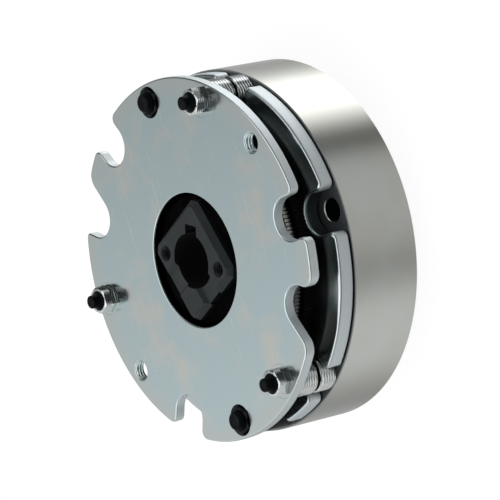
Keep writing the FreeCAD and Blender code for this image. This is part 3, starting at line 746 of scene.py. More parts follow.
def flat_loops(node: str, level: float) -> list[list[Spot]]:
    """Read the outlines of a CAD node's flat face at one height.

    Args:
        node: Name of the CAD node.
        level: Height of the face in millimetres.

    Returns:
        Closed loops that keep the material on their left, the outer one first.
    """
    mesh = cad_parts[node].data
    mesh.calc_loop_triangles()
    keys = [(round(corner.co.x / MM, KEY_DIGITS), round(corner.co.y / MM, KEY_DIGITS))
            for corner in mesh.vertices]
    edges: set[tuple[Spot, Spot]] = set()
    for triangle in mesh.loop_triangles:
        heights = [mesh.vertices[index].co.z / MM for index in triangle.vertices]
        if max(abs(height - level) for height in heights) > LOOP_TOLERANCE:
            continue
        names = [keys[index] for index in triangle.vertices]
        area = sum(a[0] * b[1] - b[0] * a[1] for a, b in zip(names, names[1:] + names[:1]))
        if area < 0:
            names.reverse()
        for first, second in zip(names, names[1:] + names[:1]):
            if (second, first) in edges:
                edges.remove((second, first))
            else:
                edges.add((first, second))
    following = dict(edges)
    loops = []
    while following:
        start, spot = following.popitem()
        loop = [start]
        while spot != start:
            loop.append(spot)
            spot = following.pop(spot)
        loops.append(loop)
    loops.sort(key=lambda loop: -farthest(loop))
    return loops


def farthest(loop: Sequence[Spot]) -> float:
    """Give the radius of a loop's point that lies farthest from the brake's axis."""
    return max(math.hypot(x, y) for x, y in loop)


def middle(loop: Sequence[Spot]) -> Vector:
    """Give the mean of a loop's points."""
    return Vector((sum(x for x, _ in loop), sum(y for _, y in loop))) / len(loop)


def inward(loop: Sequence[Spot]) -> list[Spot]:
    """Give the direction into the material at each point of a loop, stretched at corners.

    Args:
        loop: A closed outline with the material on its left.

    Returns:
        One direction for each point.
    """
    sharpest = 0.25
    found = []
    for number, (x, y) in enumerate(loop):
        back, ahead = loop[number - 1], loop[(number + 1) % len(loop)]
        first = Vector((x - back[0], y - back[1])).normalized()
        second = Vector((ahead[0] - x, ahead[1] - y)).normalized()
        left = Vector((-first.y - second.y, first.x + second.x)) / 2.0
        found.append(tuple(left / max(left.length_squared, sharpest)))
    return found


@dataclass
class PlateEdge:
    """A rounded edge: how far it reaches along the face and down the wall."""

    across: float
    down: float
    steps: int

    def profile(self) -> list[Point]:
        """Give the inset, the drop and the normal's lean of each step, from wall to face."""
        turns = [math.pi / 2.0 * step / self.steps for step in range(self.steps + 1)]
        return [(self.across * (1.0 - math.cos(turn)), self.down * (1.0 - math.sin(turn)), turn)
                for turn in turns]


def wall_rows(back: PlateEdge, front: PlateEdge, bottom: float, top: float,
              tear: float | None) -> list[Point]:
    """Lay the rows of a plate's wall, from the back face to the front face.

    Args:
        back: Edge at the back face.
        front: Edge at the front face.
        bottom: Height of the back face.
        top: Height of the front face.
        tear: Height below which the wall is torn by the punch, if it is.

    Returns:
        Inset, height and lean of the normal of each row.
    """
    sunk = 0.0 if tear is None else TEAR_DEPTH
    rows = [(inset + sunk, bottom + drop, -lean) for inset, drop, lean in back.profile()]
    rows.reverse()
    if tear is not None:
        rows += [(sunk, tear - TEAR_SLOPE, 0.0), (sunk, tear - TEAR_SLOPE, -TEAR_LEAN),
                 (0.0, tear, -TEAR_LEAN), (0.0, tear, 0.0)]
    return rows + [(inset, top - drop, lean) for inset, drop, lean in front.profile()]


def lid(points: Sequence[Point], borders: Sequence[range], upper: bool) -> list[Face]:
    """Close a flat face between its borders.

    Args:
        points: The plate's points.
        borders: Point numbers of each border, the outer one first.
        upper: Whether the face looks forward.

    Returns:
        Its triangles.
    """
    order = [index for border in borders for index in border]
    faces = []
    for corners in tessellate_polygon([[Vector(points[index]) for index in border]
                                       for border in borders]):
        a, b, c = (points[order[corner]] for corner in corners)
        turned = (b[0] - a[0]) * (c[1] - a[1]) - (b[1] - a[1]) * (c[0] - a[0])
        wanted = corners if (turned > 0) == upper else reversed(corners)
        faces.append(tuple(order[corner] for corner in wanted))
    return faces


def rounded_plate(name: str, loops: Sequence[Sequence[Spot]], bottom: float, top: float,
                  front: Callable[[int], PlateEdge], back: PlateEdge,
                  land: float) -> bpy.types.Object:
    """Build a flat plate with rounded edges from its outlines.

    Args:
        name: The piece's name.
        loops: Closed outlines with the material on their left, the outer one first.
        bottom: Height of the back face.
        top: Height of the front face.
        front: Front edge for the loop with a given number.
        back: Back edge of every loop.
        land: Depth of the smooth part of a punched wall, below which it is torn.

    Returns:
        The piece.
    """
    points: list[Point] = []
    normals: list[Point] = []
    faces: list[Face] = []
    under: list[range] = []
    over: list[range] = []
    for number, loop in enumerate(loops):
        punched = number == 0 or len(loop) > PUNCHED_POINTS
        rows = wall_rows(back, front(number), bottom, top, top - land if punched else None)
        into = inward(loop)
        start, count = len(points), len(loop)
        for inset, level, lean in rows:
            for (x, y), (nx, ny) in zip(loop, into):
                points.append((x + nx * inset, y + ny * inset, level))
                size = math.hypot(nx, ny)
                normals.append((-nx / size * math.cos(lean), -ny / size * math.cos(lean),
                                math.sin(lean)))
        for low in range(start, start + (len(rows) - 1) * count, count):
            for step in range(count):
                after = (step + 1) % count
                faces.append((low + step, low + after, low + count + after, low + count + step))
        under.append(range(start, start + count))
        over.append(range(start + (len(rows) - 1) * count, start + len(rows) * count))
    faces += lid(points, under, False) + lid(points, over, True)
    mesh = raw_mesh(name, points, faces)
    for face in mesh.polygons:
        face.use_smooth = True
    mesh.normals_split_custom_set_from_vertices(normals)
    return put(name, mesh)


@dataclass
class TappedThread:
    """The threaded wall of one tapped hole."""

    name: str
    centre: Spot
    radius: float
    pitch: float
    depth: float
    body: str
    slot: str
    finish: str
    flare: float = 0.5
    wall: float = 0.02
    smooth: float = 50.0
    points: int = 64

    def build(self, bottom: float, top: float, wardrobe: Wardrobe) -> bpy.types.Object:
        """Build the thread between two heights.

        Args:
            bottom: Lowest height.
            top: Highest height, where the thread opens to its mouth.
            wardrobe: Gives the finishes.

        Returns:
            The thread piece.
        """
        inner = self.radius - self.depth
        thread = Thread(self.depth, self.pitch, self.depth)
        rings = []
        for level in levels(bottom, top, self.pitch):
            def radius(turn: float, here: float = level) -> float:
                """Radius of the internal thread, opened towards the mouth."""
                opened = inner + max(0.0, self.flare - (top - here))
                return min(self.radius, max(self.radius - thread.at(turn, here), opened))
            rings.append(ring(radius, level, self.points))
        outside = self.radius + self.wall
        rings += circles(self.points, (outside, top), (outside, bottom))
        points, faces = join_rings(rings, closed=True)
        moved = [(x + self.centre[0], y + self.centre[1], z) for x, y, z in points]
        piece = make_piece(self.name, moved, [tuple(reversed(face)) for face in faces], self.smooth)
        stand_for(piece, self.body, [])
        wardrobe.dress(piece, self.finish)
        return piece


@dataclass
class FlangePlate:
    """The zinc plated flange plate and the threads of its two tapped holes."""

    edge: float = 0.7
    land: float = 2.2
    hole_edge: float = 0.35
    hole_drop: float = 1.8
    seam_edge: float = 0.04
    back_edge: float = 0.2
    tap_radius: float = 4.0
    tap_mouth: float = 0.45
    tap_depth: float = 0.62
    tap_ends: Spot = (0.25, 0.35)
    tap_reach: float = 1.0

    def build(self, wardrobe: Wardrobe) -> list[bpy.types.Object]:
        """Build the plate and its tapped threads.

        Args:
            wardrobe: Gives the finishes.

        Returns:
            The pieces.
        """
        bottom, top = node_span("flange_plate")
        loops = flat_loops("flange_plate", bottom)
        outer = PlateEdge(self.edge, self.edge, steps=5)
        inner = PlateEdge(self.hole_edge, self.hole_drop * self.hole_edge, steps=4)
        seam = PlateEdge(self.seam_edge, self.seam_edge, steps=2)
        mouth = PlateEdge(self.tap_mouth, self.tap_mouth, steps=3)

        def front(number: int) -> PlateEdge:
            """Edge of one outline: the rim, a tapped hole, a hole round a piece, the opening."""
            if number == 0:
                return outer
            if self.is_tapped(loops[number]):
                return mouth
            return seam if farthest(loops[number]) > PITCH_RADIUS else inner
        back = PlateEdge(self.back_edge, self.back_edge, steps=2)
        plate = rounded_plate("flange_plate_skin", [self.widen(loop) for loop in loops],
                              bottom, top, front, back, self.land)
        stand_for(plate, "stator", ["flange_plate"])
        wardrobe.dress(plate, "zinc_plate")
        made = [plate]
        for number, degrees in enumerate(TAPPED_DEGREES, start=1):
            tap = TappedThread(f"tapped_thread_{number}", station(degrees), self.tap_radius,
                               THREAD_PITCH, self.tap_depth, "stator", "zinc_plate", "zinc_plate")
            made.append(tap.build(bottom + self.tap_ends[0], top - self.tap_ends[1], wardrobe))
        return made

    def is_tapped(self, loop: Sequence[Spot]) -> bool:
        """Tell whether an outline is one of the tapped holes."""
        return any((middle(loop) - Vector(station(degrees))).length < self.tap_reach
                   for degrees in TAPPED_DEGREES)

    def widen(self, loop: Sequence[Spot]) -> list[Spot]:
        """Open a tapped hole's outline to the thread's outside radius, and leave the others.

        Args:
            loop: The outline.

        Returns:
            The outline as the plate has it.
        """
        if not self.is_tapped(loop):
            return list(loop)
        centre = middle(loop)
        return [tuple(centre + (Vector(spot) - centre).normalized() * self.tap_radius)
                for spot in loop]


@dataclass
class ArmaturePlate:
    """The notched armature plate behind the rotor."""

    edge: float = 1.2
    face_edge: float = 1.4
    hole_edge: float = 0.4
    back_edge: float = 0.3
    land: float = 2.1

    def build(self, wardrobe: Wardrobe) -> list[bpy.types.Object]:
        """Build the plate from the outline of its back face.

        Args:
            wardrobe: Gives the finishes.

        Returns:
            The piece, in a list.
        """
        bottom, top = node_span("armature_plate")
        outer = PlateEdge(self.face_edge, self.edge, steps=6)
        inner = PlateEdge(self.hole_edge, self.hole_edge, steps=3)
        back = PlateEdge(self.back_edge, self.back_edge, steps=2)
        plate = rounded_plate("armature_skin", flat_loops("armature_plate", bottom), bottom, top,
                              lambda number: outer if number == 0 else inner, back, self.land)
        stand_for(plate, "armature", ["armature_plate"])
        wardrobe.dress(plate, "zinc_armature")
        return [plate]


@dataclass
class BushStation:
    """One threaded bush and the adjusting sleeve under it, both bored for a screw."""

    number: int
    degrees: float
    spin: float
    # Thread roots get painted shade where the y of their normal is above the next value.
    root_shade_from: float
    body_radius: float = 7.4
    thread_radius: float = 6.7
    bore: float = 4.05
    bore_bevel: float = 0.08
    flats: float = 10.0
    thread_depth: float = 0.70
    thread_flank: float = 0.46
    root_shade_band: Spot = (0.45, 1.02)
    bevel: float = 0.5
    lead_in: float = 0.4
    seam: float = 0.03
    foot: float = 0.32
    corner_trim: float = 0.05
    corner_pitch: float = 0.95
    corner_depth: float = 0.5
    corner_length: float = 3.1
    end_inset: float = 0.1
    end_slope: float = 1.9
    smooth: float = 34.0
    points: int = 96

    def build(self, wardrobe: Wardrobe) -> list[bpy.types.Object]:
        """Build the bush and the sleeve with their threads."""
        return [self.build_bush(wardrobe), self.build_sleeve(wardrobe)]

    def threaded_rings(self, bottom: float, top: float, bevel_high: bool) -> list[Ring]:
        """Lay the rings of a threaded wall whose lower end is bevelled.

        Args:
            bottom: Lowest height.
            top: Highest height.
            bevel_high: Whether the upper end is bevelled too.

        Returns:
            Rings from bottom to top.
        """
        thread = Thread(self.body_radius, THREAD_PITCH, self.thread_depth, self.thread_flank)
        start = self.body_radius - self.bevel
        rings = []
        for level in levels(bottom, top, THREAD_PITCH):
            limit = min(self.body_radius, start + (level - bottom))
            if bevel_high:
                limit = min(limit, start + (top - level))
            rings.append(ring(lambda turn, here=level, most=limit: min(most, thread.at(turn, here)),
                              level, self.points))
        return rings

    def build_bush(self, wardrobe: Wardrobe) -> bpy.types.Object:
        """Build the bush: threaded below the plate's face, a hexagon above it.

        Args:
            wardrobe: Gives the finishes.

        Returns:
            The bush.
        """
        node = f"flange_bush_{self.number}"
        bottom, top = node_span(node)
        back, face = node_span("flange_plate")
        shape = hexagon(self.flats)
        crest = Thread(self.flats / math.sqrt(3.0) - self.corner_trim, self.corner_pitch,
                       self.corner_depth)
        rings = self.threaded_rings(bottom, back, False)
        rings += circles(self.points, (self.thread_radius, back),
                         (self.thread_radius, face - self.seam),
                         (self.thread_radius - self.seam, face))
        rings.append(ring(lambda turn: shape(turn) - self.foot, face, self.points))
        for level in levels(face + self.foot, top, self.corner_pitch):
            limit = self.flats / 2.0 - self.end_inset + self.end_slope * (top - level)
            threaded = level >= top - self.corner_length

            def radius(turn: float, here: float = level, most: float = limit,
                       cut: bool = threaded) -> float:
                """Hexagon with a bevelled end and thread left on its corners."""
                return min(shape(turn), most, crest.at(turn, here) if cut else most)
            rings.append(ring(radius, level, self.points))
        rings += circles(self.points, (self.bore + self.bore_bevel, top),
                         (self.bore, top - self.bore_bevel), (self.bore, bottom))
        points, faces = join_rings(rings, closed=True)
        piece = make_piece(f"bush_{self.number}", at_station(points, self.degrees, self.spin),
                           faces, self.smooth)
        stand_for(piece, "stator", [node])
        wardrobe.dress(piece, "zinc_bush", "thread_root_shade", "zinc_plate")
        self.paint_root_shade(piece, back)
        for polygon in piece.data.polygons:
            if abs(polygon.center.z / MM - face) < FACE_TOLERANCE:
                polygon.material_index = FACE_FINISH
        return piece

    def build_sleeve(self, wardrobe: Wardrobe) -> bpy.types.Object:
        """Build the threaded sleeve that is screwed into the magnet body.

        Args:
            wardrobe: Gives the finishes.

        Returns:
            The sleeve.
        """
        node = f"adjusting_sleeve_{self.number}"
        bottom, top = node_span(node)
        rings = circles(self.points, (self.thread_radius - self.lead_in, bottom),
                        (self.thread_radius, bottom + self.lead_in),
                        (self.thread_radius, POLE_LEVEL))
        rings += self.threaded_rings(POLE_LEVEL, top, True)
        rings += circles(self.points, (self.bore, top), (self.bore, bottom))
        points, faces = join_rings(rings, closed=True)
        piece = make_piece(f"sleeve_{self.number}", at_station(points, self.degrees), faces,
                           self.smooth)
        stand_for(piece, "stator", [node])
        wardrobe.dress(piece, "zinc_bush", "thread_root_shade")
        self.paint_root_shade(piece, top - self.bevel)
        return piece

    def paint_root_shade(self, piece: bpy.types.Object, top: float) -> None:
        """Paint shade on the thread's roots below a height, as a finish of their own.

        Args:
            piece: The bush or sleeve.
            top: Height that the thread ends at.
        """
        centre = Vector(station(self.degrees))
        outer, inner = (self.body_radius - self.thread_depth * share for share in self.root_shade_band)
        for polygon in piece.data.polygons:
            deep = inner < (polygon.center.xy / MM - centre).length < outer
            if deep and polygon.center.z / MM < top and polygon.normal.y > self.root_shade_from:
                polygon.material_index = ROOT_SHADE_FINISH


@dataclass
class SocketScrew:
    """One black socket head screw with its thread and its end.

    The profiles give how far a step lies inside the radius it starts from, and how far
    from the end it belongs to.
    """

    name: str
    node: str
    degrees: float
    spin: float
    pointed: bool
    radius: float = 4.0
    thread_depth: float = 0.55
    thread_length: float = 18.0
    head_radius: float = 6.5
    head_height: float = 8.0
    head_edge: tuple[Spot, ...] = ((0.7, 0.0), (0.35, 0.2), (0.1, 0.55))
    under_edge: float = 0.2
    knurl_depth: float = 0.14
    knurl_ends: Spot = (0.8, 0.6)
    socket_flats: float = 6.0
    socket_depth: float = 4.5
    socket_bevel: float = 0.3
    neck: Spot = (0.1, 0.3)
    runout: float = 0.2
    end_bevel: float = 0.75
    end_dish: tuple[Spot, ...] = ((1.5, 0.0), (1.8, 0.08))
    dish_depth: float = 0.12
    shoulder_edge: tuple[Spot, ...] = ((0.9, 0.02), (1.05, 0.5))
    point_radius: float = 2.7
    point_length: float = 2.8
    point_foot: float = 1.0
    point_edge: tuple[Spot, ...] = ((0.0, 0.5), (0.12, 0.18), (0.4, 0.0), (1.2, 0.0))
    smooth: float = 36.0
    points: int = 96

    def build(self, wardrobe: Wardrobe) -> bpy.types.Object:
        """Build the screw from its head to its end.

        Args:
            wardrobe: Gives the finishes.

        Returns:
            The screw.
        """
        bottom, end = node_span(self.node)
        shoulder = end - self.point_length if self.pointed else end
        rings = self.head_rings(bottom)
        start = shoulder - self.thread_length
        rings += circles(self.points, (self.radius, start - self.runout))
        thread = Thread(self.radius, THREAD_PITCH, self.thread_depth)
        for level in levels(start, shoulder, THREAD_PITCH):
            limit = self.radius - self.end_bevel + (shoulder - level)
            rings.append(ring(lambda turn, here=level, most=limit: min(most, thread.at(turn, here)),
                              level, self.points))
        if self.pointed:
            steps = [(self.radius - inset, shoulder + rise) for inset, rise in self.shoulder_edge]
            steps.append((self.point_radius, shoulder + self.point_foot))
            steps += [(self.point_radius - inset, end - drop) for inset, drop in self.point_edge]
            rings += circles(self.points, *steps) + [[(0.0, 0.0, end)]]
        else:
            steps = [(self.radius - inset, end - drop) for inset, drop in self.end_dish]
            rings += circles(self.points, *steps) + [[(0.0, 0.0, end - self.dish_depth)]]
        points, faces = join_rings(rings)
        piece = make_piece(self.name, at_station(points, self.degrees, self.spin), faces,
                           self.smooth)
        stand_for(piece, "stator", [self.node])
        wardrobe.dress(piece, "black_screw")
        return piece

    def head_rings(self, bottom: float) -> list[Ring]:
        """Lay the rings of the head, from its socket to the shank.

        Args:
            bottom: Height of the head's end.

        Returns:
            The rings.
        """
        socket = hexagon(self.socket_flats)
        floor, top = bottom + self.socket_depth, bottom + self.head_height

        def knurled(turn: float) -> float:
            """Radius of the knurled head, lower at every second point."""
            low = round(turn * self.points / FULL_TURN) % 2
            return self.head_radius - (self.knurl_depth if low else 0.0)
        rings = [[(0.0, 0.0, floor)], ring(socket, floor, self.points),
                 ring(socket, bottom + self.socket_bevel, self.points),
                 ring(lambda turn: socket(turn) + self.socket_bevel, bottom, self.points)]
        rings += circles(self.points, *((self.head_radius - inset, bottom + rise)
                                        for inset, rise in self.head_edge))
        for level in (bottom + self.knurl_ends[0], top - self.knurl_ends[1]):
            rings.append(ring(knurled, level, self.points))
        return rings + circles(
            self.points, (self.head_radius - self.under_edge, top - self.under_edge),
            (self.head_radius - 2.0 * self.under_edge, top), (self.radius + self.neck[0], top),
            (self.radius, top + self.neck[1]))


@dataclass
class StopTube:
    """One black spacer tube whose hexagon shows in the flange plate."""

    number: int
    degrees: float
    spin: float
    radius: float = 6.7
    bevel: float = 0.3
    bore: float = 4.05
    mouth: float = 0.2
    flats: float = 10.6
    crown: tuple[Spot, ...] = ((0.35, 0.25), (-0.15, 0.0))
    crown_height: float = 0.5
    smooth: float = 30.0
    points: int = 96

    def build(self, wardrobe: Wardrobe) -> bpy.types.Object:
        """Build the tube.

        Args:
            wardrobe: Gives the finishes.

        Returns:
            The tube.
        """
        node = f"stop_tube_{self.number}"
        bottom, top = node_span(node)
        step = node_span("flange_plate")[0]
        shape = hexagon(self.flats)
        rings = circles(self.points, (self.radius - self.bevel, bottom),
                        (self.radius, bottom + self.bevel), (self.radius, step - self.bevel),
                        (self.radius - self.bevel, step))
        rings += [ring(shape, level, self.points) for level in (step, top - self.crown_height)]
        for past, drop in self.crown:
            limit = self.flats / 2.0 + past
            rings.append(ring(lambda turn, most=limit: min(shape(turn), most), top - drop,
                              self.points))
        rings += circles(self.points, (self.bore + self.mouth, top), (self.bore, top - self.mouth),
                         (self.bore, bottom))
        points, faces = join_rings(rings, closed=True)
        piece = make_piece(f"tube_{self.number}", at_station(points, self.degrees, self.spin),
                           faces, self.smooth)
        stand_for(piece, "stator", [node])
        wardrobe.dress(piece, "black_tube")
        return piece


@dataclass
class PressureSprings:
    """The six coil springs that press the armature forward."""

    count: int = 6
    pitch_radius: float = 31.98
    coil_radius: float = 3.15
    wire_radius: float = 0.55
    turns: float = 7.5
    closed_share: float = 0.12
    steps: int = 40
    sides: int = 10
    smooth: float = 60.0

    def build(self, wardrobe: Wardrobe) -> list[bpy.types.Object]:
        """Build each spring as a swept wire.

        Args:
            wardrobe: Gives the finishes.

        Returns:
            The springs.
        """
        bottom, top = node_span("pressure_springs")
        length = self.turns * self.steps
        made = []
        for number in range(self.count):
            side = FULL_TURN * number / self.count
            centre = Vector((math.cos(side) * self.pitch_radius,
                             math.sin(side) * self.pitch_radius, 0.0))
            points, faces = join_rings([self.wire_ring(step / length, bottom, top, centre)
                                        for step in range(round(length) + 1)])
            last = len(points) - self.sides
            faces.append(tuple(reversed(range(self.sides))))
            faces.append(tuple(range(last, last + self.sides)))
            piece = make_piece(f"spring_{number + 1}", points, faces, self.smooth)
            stand_for(piece, "stator", ["pressure_springs"])
            wardrobe.dress(piece, "spring_steel")
            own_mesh(piece)
            made.append(piece)
        return made

    def wire_ring(self, share: float, bottom: float, top: float, centre: Vector) -> Ring:
        """Lay one ring of the wire.

        Args:
            share: How far along the spring, from 0 to 1.
            bottom: Lowest height of the spring.
            top: Highest height of the spring.
            centre: Axis of the spring.

        Returns:
            The ring's points.
        """
        angle = share * self.turns * FULL_TURN
        climb = (share - self.closed_share) / (1.0 - 2.0 * self.closed_share)
        rise = (top - bottom - 2.0 * self.wire_radius) * min(1.0, max(0.0, climb))
        outward, up = Vector((math.cos(angle), math.sin(angle), 0.0)), Vector((0.0, 0.0, 1.0))
        spot = centre + outward * self.coil_radius + up * (bottom + self.wire_radius + rise)
        turns = [FULL_TURN * step / self.sides for step in range(self.sides)]
        return [tuple(spot + outward * self.wire_radius * math.cos(turn)
                      - up * self.wire_radius * math.sin(turn)) for turn in turns]


@dataclass
class PullerThreads:
    """The threads in the hub's two puller holes."""

    pitch: float = 1.0
    depth: float = 0.3
    length: float = 7.0
    mouth: float = 0.6
    clearance: float = 0.02
    largest: float = 4.0
    out_of_round: float = 0.2

    def build(self, wardrobe: Wardrobe) -> list[bpy.types.Object]:
        """Build one thread in each small round hole of the hub's front face.

        Args:
            wardrobe: Gives the finishes.

        Returns:
            The threads.
        """
        made = []
        for loop in flat_loops("hub", HUB_FRONT):
            centre = middle(loop)
            reach = [(Vector(spot) - centre).length for spot in loop]
            if max(reach) > self.largest or max(reach) - min(reach) > self.out_of_round:
                continue
            tap = TappedThread(f"puller_thread_{len(made) + 1}", tuple(centre),
                               min(reach) - self.mouth - self.clearance, self.pitch, self.depth,
                               "hub", "black_hub", "hub_thread")
            made.append(tap.build(HUB_FRONT - self.length, HUB_FRONT - self.mouth, wardrobe))
        return made


class KeptNodes:
    """CAD nodes that stay, each with its finish, some with their edges broken."""

    finishes = {
        "magnet_body": "turned_steel", "lining_front": "front_friction_highlight", "lining_rear": "friction",
        "rotor_carrier": "dark_carrier", "hub": "black_hub", "coil_winding": "copper",
        "coil_cover": "resin", "lead_grommet": "rubber",
    }
    softened = ("hub", "rotor_carrier", "lead_grommet")
    edge = 0.12
    edge_degrees = 30.0
    weld = 0.002

    def build(self, wardrobe: Wardrobe) -> list[bpy.types.Object]:
        """Dress the nodes.

        Args:
            wardrobe: Gives the finishes.

        Returns:
            The nodes' objects.
        """
        for node, finish in self.finishes.items():
            wardrobe.dress(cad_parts[node], finish)
        for node in self.softened:
            self.soften(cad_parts[node])
        return [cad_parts[node] for node in self.finishes]

    def soften(self, piece: bpy.types.Object) -> None:
        """Break the sharp edges of a CAD node with modifiers, its mesh left as it is.

        Args:
            piece: The node's object.
        """
        weld = piece.modifiers.new("weld", "WELD")
        weld.merge_threshold = self.weld * MM
        bevel = piece.modifiers.new("edge_break", "BEVEL")
        bevel.limit_method = "ANGLE"
        bevel.angle_limit = math.radians(self.edge_degrees)
        bevel.width = self.edge * MM
        bevel.segments = 2
        bevel.harden_normals = True
        bevel.use_clamp_overlap = True


@dataclass(frozen=True)
class Card:
    """One soft-edged patch of light or dark in the studio, by azimuth and height in degrees."""

    azimuth: float
    height: float
    wide: float
    tall: float
    soft: float
    level: float

    def inputs(self) -> dict[str, float]:
        """Give what the card's node group gets, with angles in radians."""
        angles = {"Azimuth": self.azimuth, "Height": self.height, "Half Width": self.wide / 2.0,
                  "Half Height": self.tall / 2.0, "Soft": self.soft}
        return {**{label: math.radians(angle) for label, angle in angles.items()},
                "Level": self.level}


@dataclass(frozen=True)
class Lamp:
    """One soft lamp that is aimed at the brake."""

    name: str
    spot: Point
    power: float
    size: float = 1000.0
    aim: Point = (0.0, 0.0, 30.0)

    def build(self) -> None:
        """Add the lamp, which metal doesn't mirror."""
        data = bpy.data.lights.new(self.name, "AREA")
        data.shape = "DISK"
        data.size = self.size * MM
        data.energy = self.power
        lamp = put(self.name, data)
        lamp.location = Vector(self.spot) * MM
        towards = Vector(self.aim) * MM - lamp.location
        lamp.rotation_euler = towards.to_track_quat("-Z", "Y").to_euler()
        lamp.visible_glossy = False


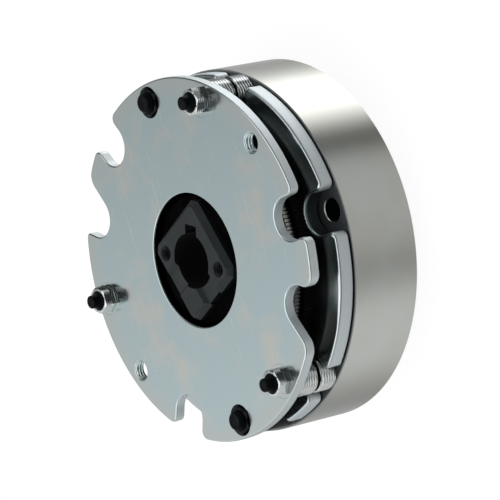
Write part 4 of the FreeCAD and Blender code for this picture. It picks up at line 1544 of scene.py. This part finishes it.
@dataclass
class Studio:
    """World, lamps, floor and camera."""

    base: float = 0.03
    darkest: float = 0.02
    tint: Colour = (0.98, 0.99, 1.0)
    cards: tuple[Card, ...] = (
        Card(0.0, -41.0, 720.0, 106.0, 12.0, 0.50),
        Card(91.0, -32.0, 40.0, 58.0, 26.0, 1.9),
        Card(50.3, -36.0, 18.0, 70.0, 14.0, -0.53),
        Card(141.0, -36.0, 16.0, 70.0, 16.0, -0.12),
        Card(-35.0, -36.0, 20.0, 70.0, 20.0, -0.18),
        Card(-82.0, -36.0, 56.0, 70.0, 26.0, 0.17),
        Card(-141.0, -36.0, 30.0, 70.0, 30.0, -0.18),
        Card(163.0, -36.0, 20.0, 70.0, 20.0, 0.15),
        Card(206.0, 40.0, 96.0, 60.0, 60.0, 0.53),
        Card(205.0, 30.0, 64.0, 30.0, 24.0, 0.34),
        Card(-95.0, 36.0, 56.0, 40.0, 14.0, 0.52),
        Card(92.0, 32.0, 40.0, 40.0, 14.0, 0.45),
        Card(0.0, 80.0, 720.0, 58.0, 10.0, 1.2),
    )
    lamps: tuple[Lamp, ...] = (Lamp("key", (-300.0, 700.0, 800.0), 1.2),
                               Lamp("fill", (-600.0, -500.0, 600.0), 0.8))
    camera_spot: Point = (1001.2, -121.5, 775.8)
    camera_right: Point = (0.5547, -0.2783, -0.78419)
    camera_up: Point = (0.2418, 0.9556, -0.16812)
    lens: float = 228.3
    sensor: float = 36.0
    shift: Spot = (-0.0007, -0.0013)
    clip: Spot = (0.05, 20.0)
    floor_radius: float = 4000.0
    floor_points: int = 64
    floor_grey: float = 0.22
    floor_roughness: float = 0.9
    floor_glow: float = 0.86

    def build(self) -> None:
        """Set up everything round the brake."""
        self.build_world()
        for lamp in self.lamps:
            lamp.build()
        self.build_floor()
        self.build_camera()
        bpy.context.scene.view_settings.view_transform = "Standard"

    def build_world(self) -> None:
        """Make the studio that the metal reflects, white where the camera sees it."""
        world = bpy.data.worlds.new("studio")
        world.use_nodes = True
        bpy.context.scene.world = world
        world.node_tree.nodes.clear()
        tree = Tree(world.node_tree)
        direction = tree.node("TexCoord").outputs["Generated"]
        group = self.make_card_group()
        total: object = self.base
        for card in self.cards:
            placed = tree.node("Group", {"Direction": direction, **card.inputs()}, node_tree=group)
            total = tree.math("ADD", total, placed.outputs["Light"])
        light = tree.math("MAXIMUM", total, self.darkest)
        studio = tree.node("Background", {"Strength": light, "Color": (*self.tint, 1.0)})
        white = tree.node("Background", {"Strength": 1.0, "Color": (1.0, 1.0, 1.0, 1.0)})
        tree.node("OutputWorld",
                  {"Surface": tree.seen_by_camera(studio.outputs[0], white.outputs[0])})

    @staticmethod
    def make_card_group() -> bpy.types.NodeTree:
        """Make the node group that lights one patch of the studio.

        Returns:
            The group, which gives the card's Light in a direction.
        """
        inputs: dict[str, tuple[str, object]] = {"Direction": (VECTOR, None)}
        for label in ("Azimuth", "Height", "Half Width", "Half Height", "Soft", "Level"):
            inputs[label] = (FLOAT, None)
        tree, given, out = new_group("studio_card", inputs, ("Light",))
        axes = tree.split(given["Direction"])
        around = tree.math("SUBTRACT", tree.math("ARCTAN2", axes["Y"], axes["X"]), given["Azimuth"])
        rise = tree.math("SUBTRACT", tree.math("ARCSINE", axes["Z"]), given["Height"])
        edge = tree.math("MULTIPLY", given["Soft"], 0.5)
        masks = []
        for angle, half in ((tree.math("WRAP", around, math.pi, -math.pi), given["Half Width"]),
                            (rise, given["Half Height"])):
            inner, outer = tree.math("SUBTRACT", half, edge), tree.math("ADD", half, edge)
            away = tree.math("ABSOLUTE", angle)
            masks.append(tree.spread(away, inner, outer, bottom=1.0, top=0.0))
        tree.feed(out, {"Light": tree.multiply(*masks, given["Level"])})
        return tree.tree

    def build_floor(self) -> None:
        """Lay the pale floor under the stator, which glows for the camera alone."""
        outline = circles(self.floor_points, (self.floor_radius, 0.0))[0]
        floor = make_piece("floor", outline, [tuple(range(self.floor_points))])
        material = bpy.data.materials.new("pale_floor")
        material.use_nodes = True
        tree = Tree(material.node_tree)
        nodes = material.node_tree.nodes
        shader = nodes["Principled BSDF"]
        grey = (self.floor_grey, self.floor_grey, self.floor_grey, 1.0)
        tree.feed(shader, {"Base Color": grey, "Roughness": self.floor_roughness,
                           "Specular IOR Level": 0.0})
        glow = tree.node("Emission", {"Strength": self.floor_glow})
        lit = tree.node("AddShader", {0: shader.outputs[0], 1: glow.outputs[0]})
        tree.feed(nodes["Material Output"],
                  {"Surface": tree.seen_by_camera(shader.outputs[0], lit.outputs[0])})
        floor.data.materials.append(material)
        floor.visible_glossy = False

    def build_camera(self) -> None:
        """Place the camera at the photograph's viewing angle."""
        data = bpy.data.cameras.new("camera")
        data.lens = self.lens
        data.sensor_width = self.sensor
        data.shift_x, data.shift_y = self.shift
        data.clip_start, data.clip_end = self.clip
        right, up = Vector(self.camera_right).normalized(), Vector(self.camera_up).normalized()
        turned = Matrix((right, up, right.cross(up))).transposed().to_4x4()
        camera = put("camera", data)
        camera.matrix_world = Matrix.Translation(Vector(self.camera_spot) * MM) @ turned
        bpy.context.scene.camera = camera


def main() -> None:
    """Build every sub-assembly in order and report each piece."""
    logging.basicConfig(level=logging.INFO, format="%(name)s: %(message)s")
    Studio().build()
    wardrobe = Wardrobe()
    pieces = FlangePlate().build(wardrobe) + ArmaturePlate().build(wardrobe)
    stations = zip(BUSH_DEGREES, BUSH_SPINS, BUSH_ROOT_SHADE)
    for number, (degrees, spin, root_shade_from) in enumerate(stations, start=1):
        pieces += BushStation(number, degrees, spin, root_shade_from).build(wardrobe)
        screw = SocketScrew(f"screw_{number}", f"cap_screw_{number}", degrees, spin, pointed=True)
        pieces.append(screw.build(wardrobe))
    for number, degrees in enumerate(STOP_DEGREES, start=1):
        pieces.append(StopTube(number, degrees, STOP_SPIN).build(wardrobe))
        screw = SocketScrew(f"stop_{number}", f"stop_screw_{number}", degrees, STOP_SPIN,
                            pointed=False)
        pieces.append(screw.build(wardrobe))
    pieces += PressureSprings().build(wardrobe)
    pieces += PullerThreads().build(wardrobe)
    pieces += KeptNodes().build(wardrobe)
    for piece in pieces:
        LOG.info("%s: %d faces", piece.name, len(piece.data.polygons))


if __name__ == "__main__":
    main()
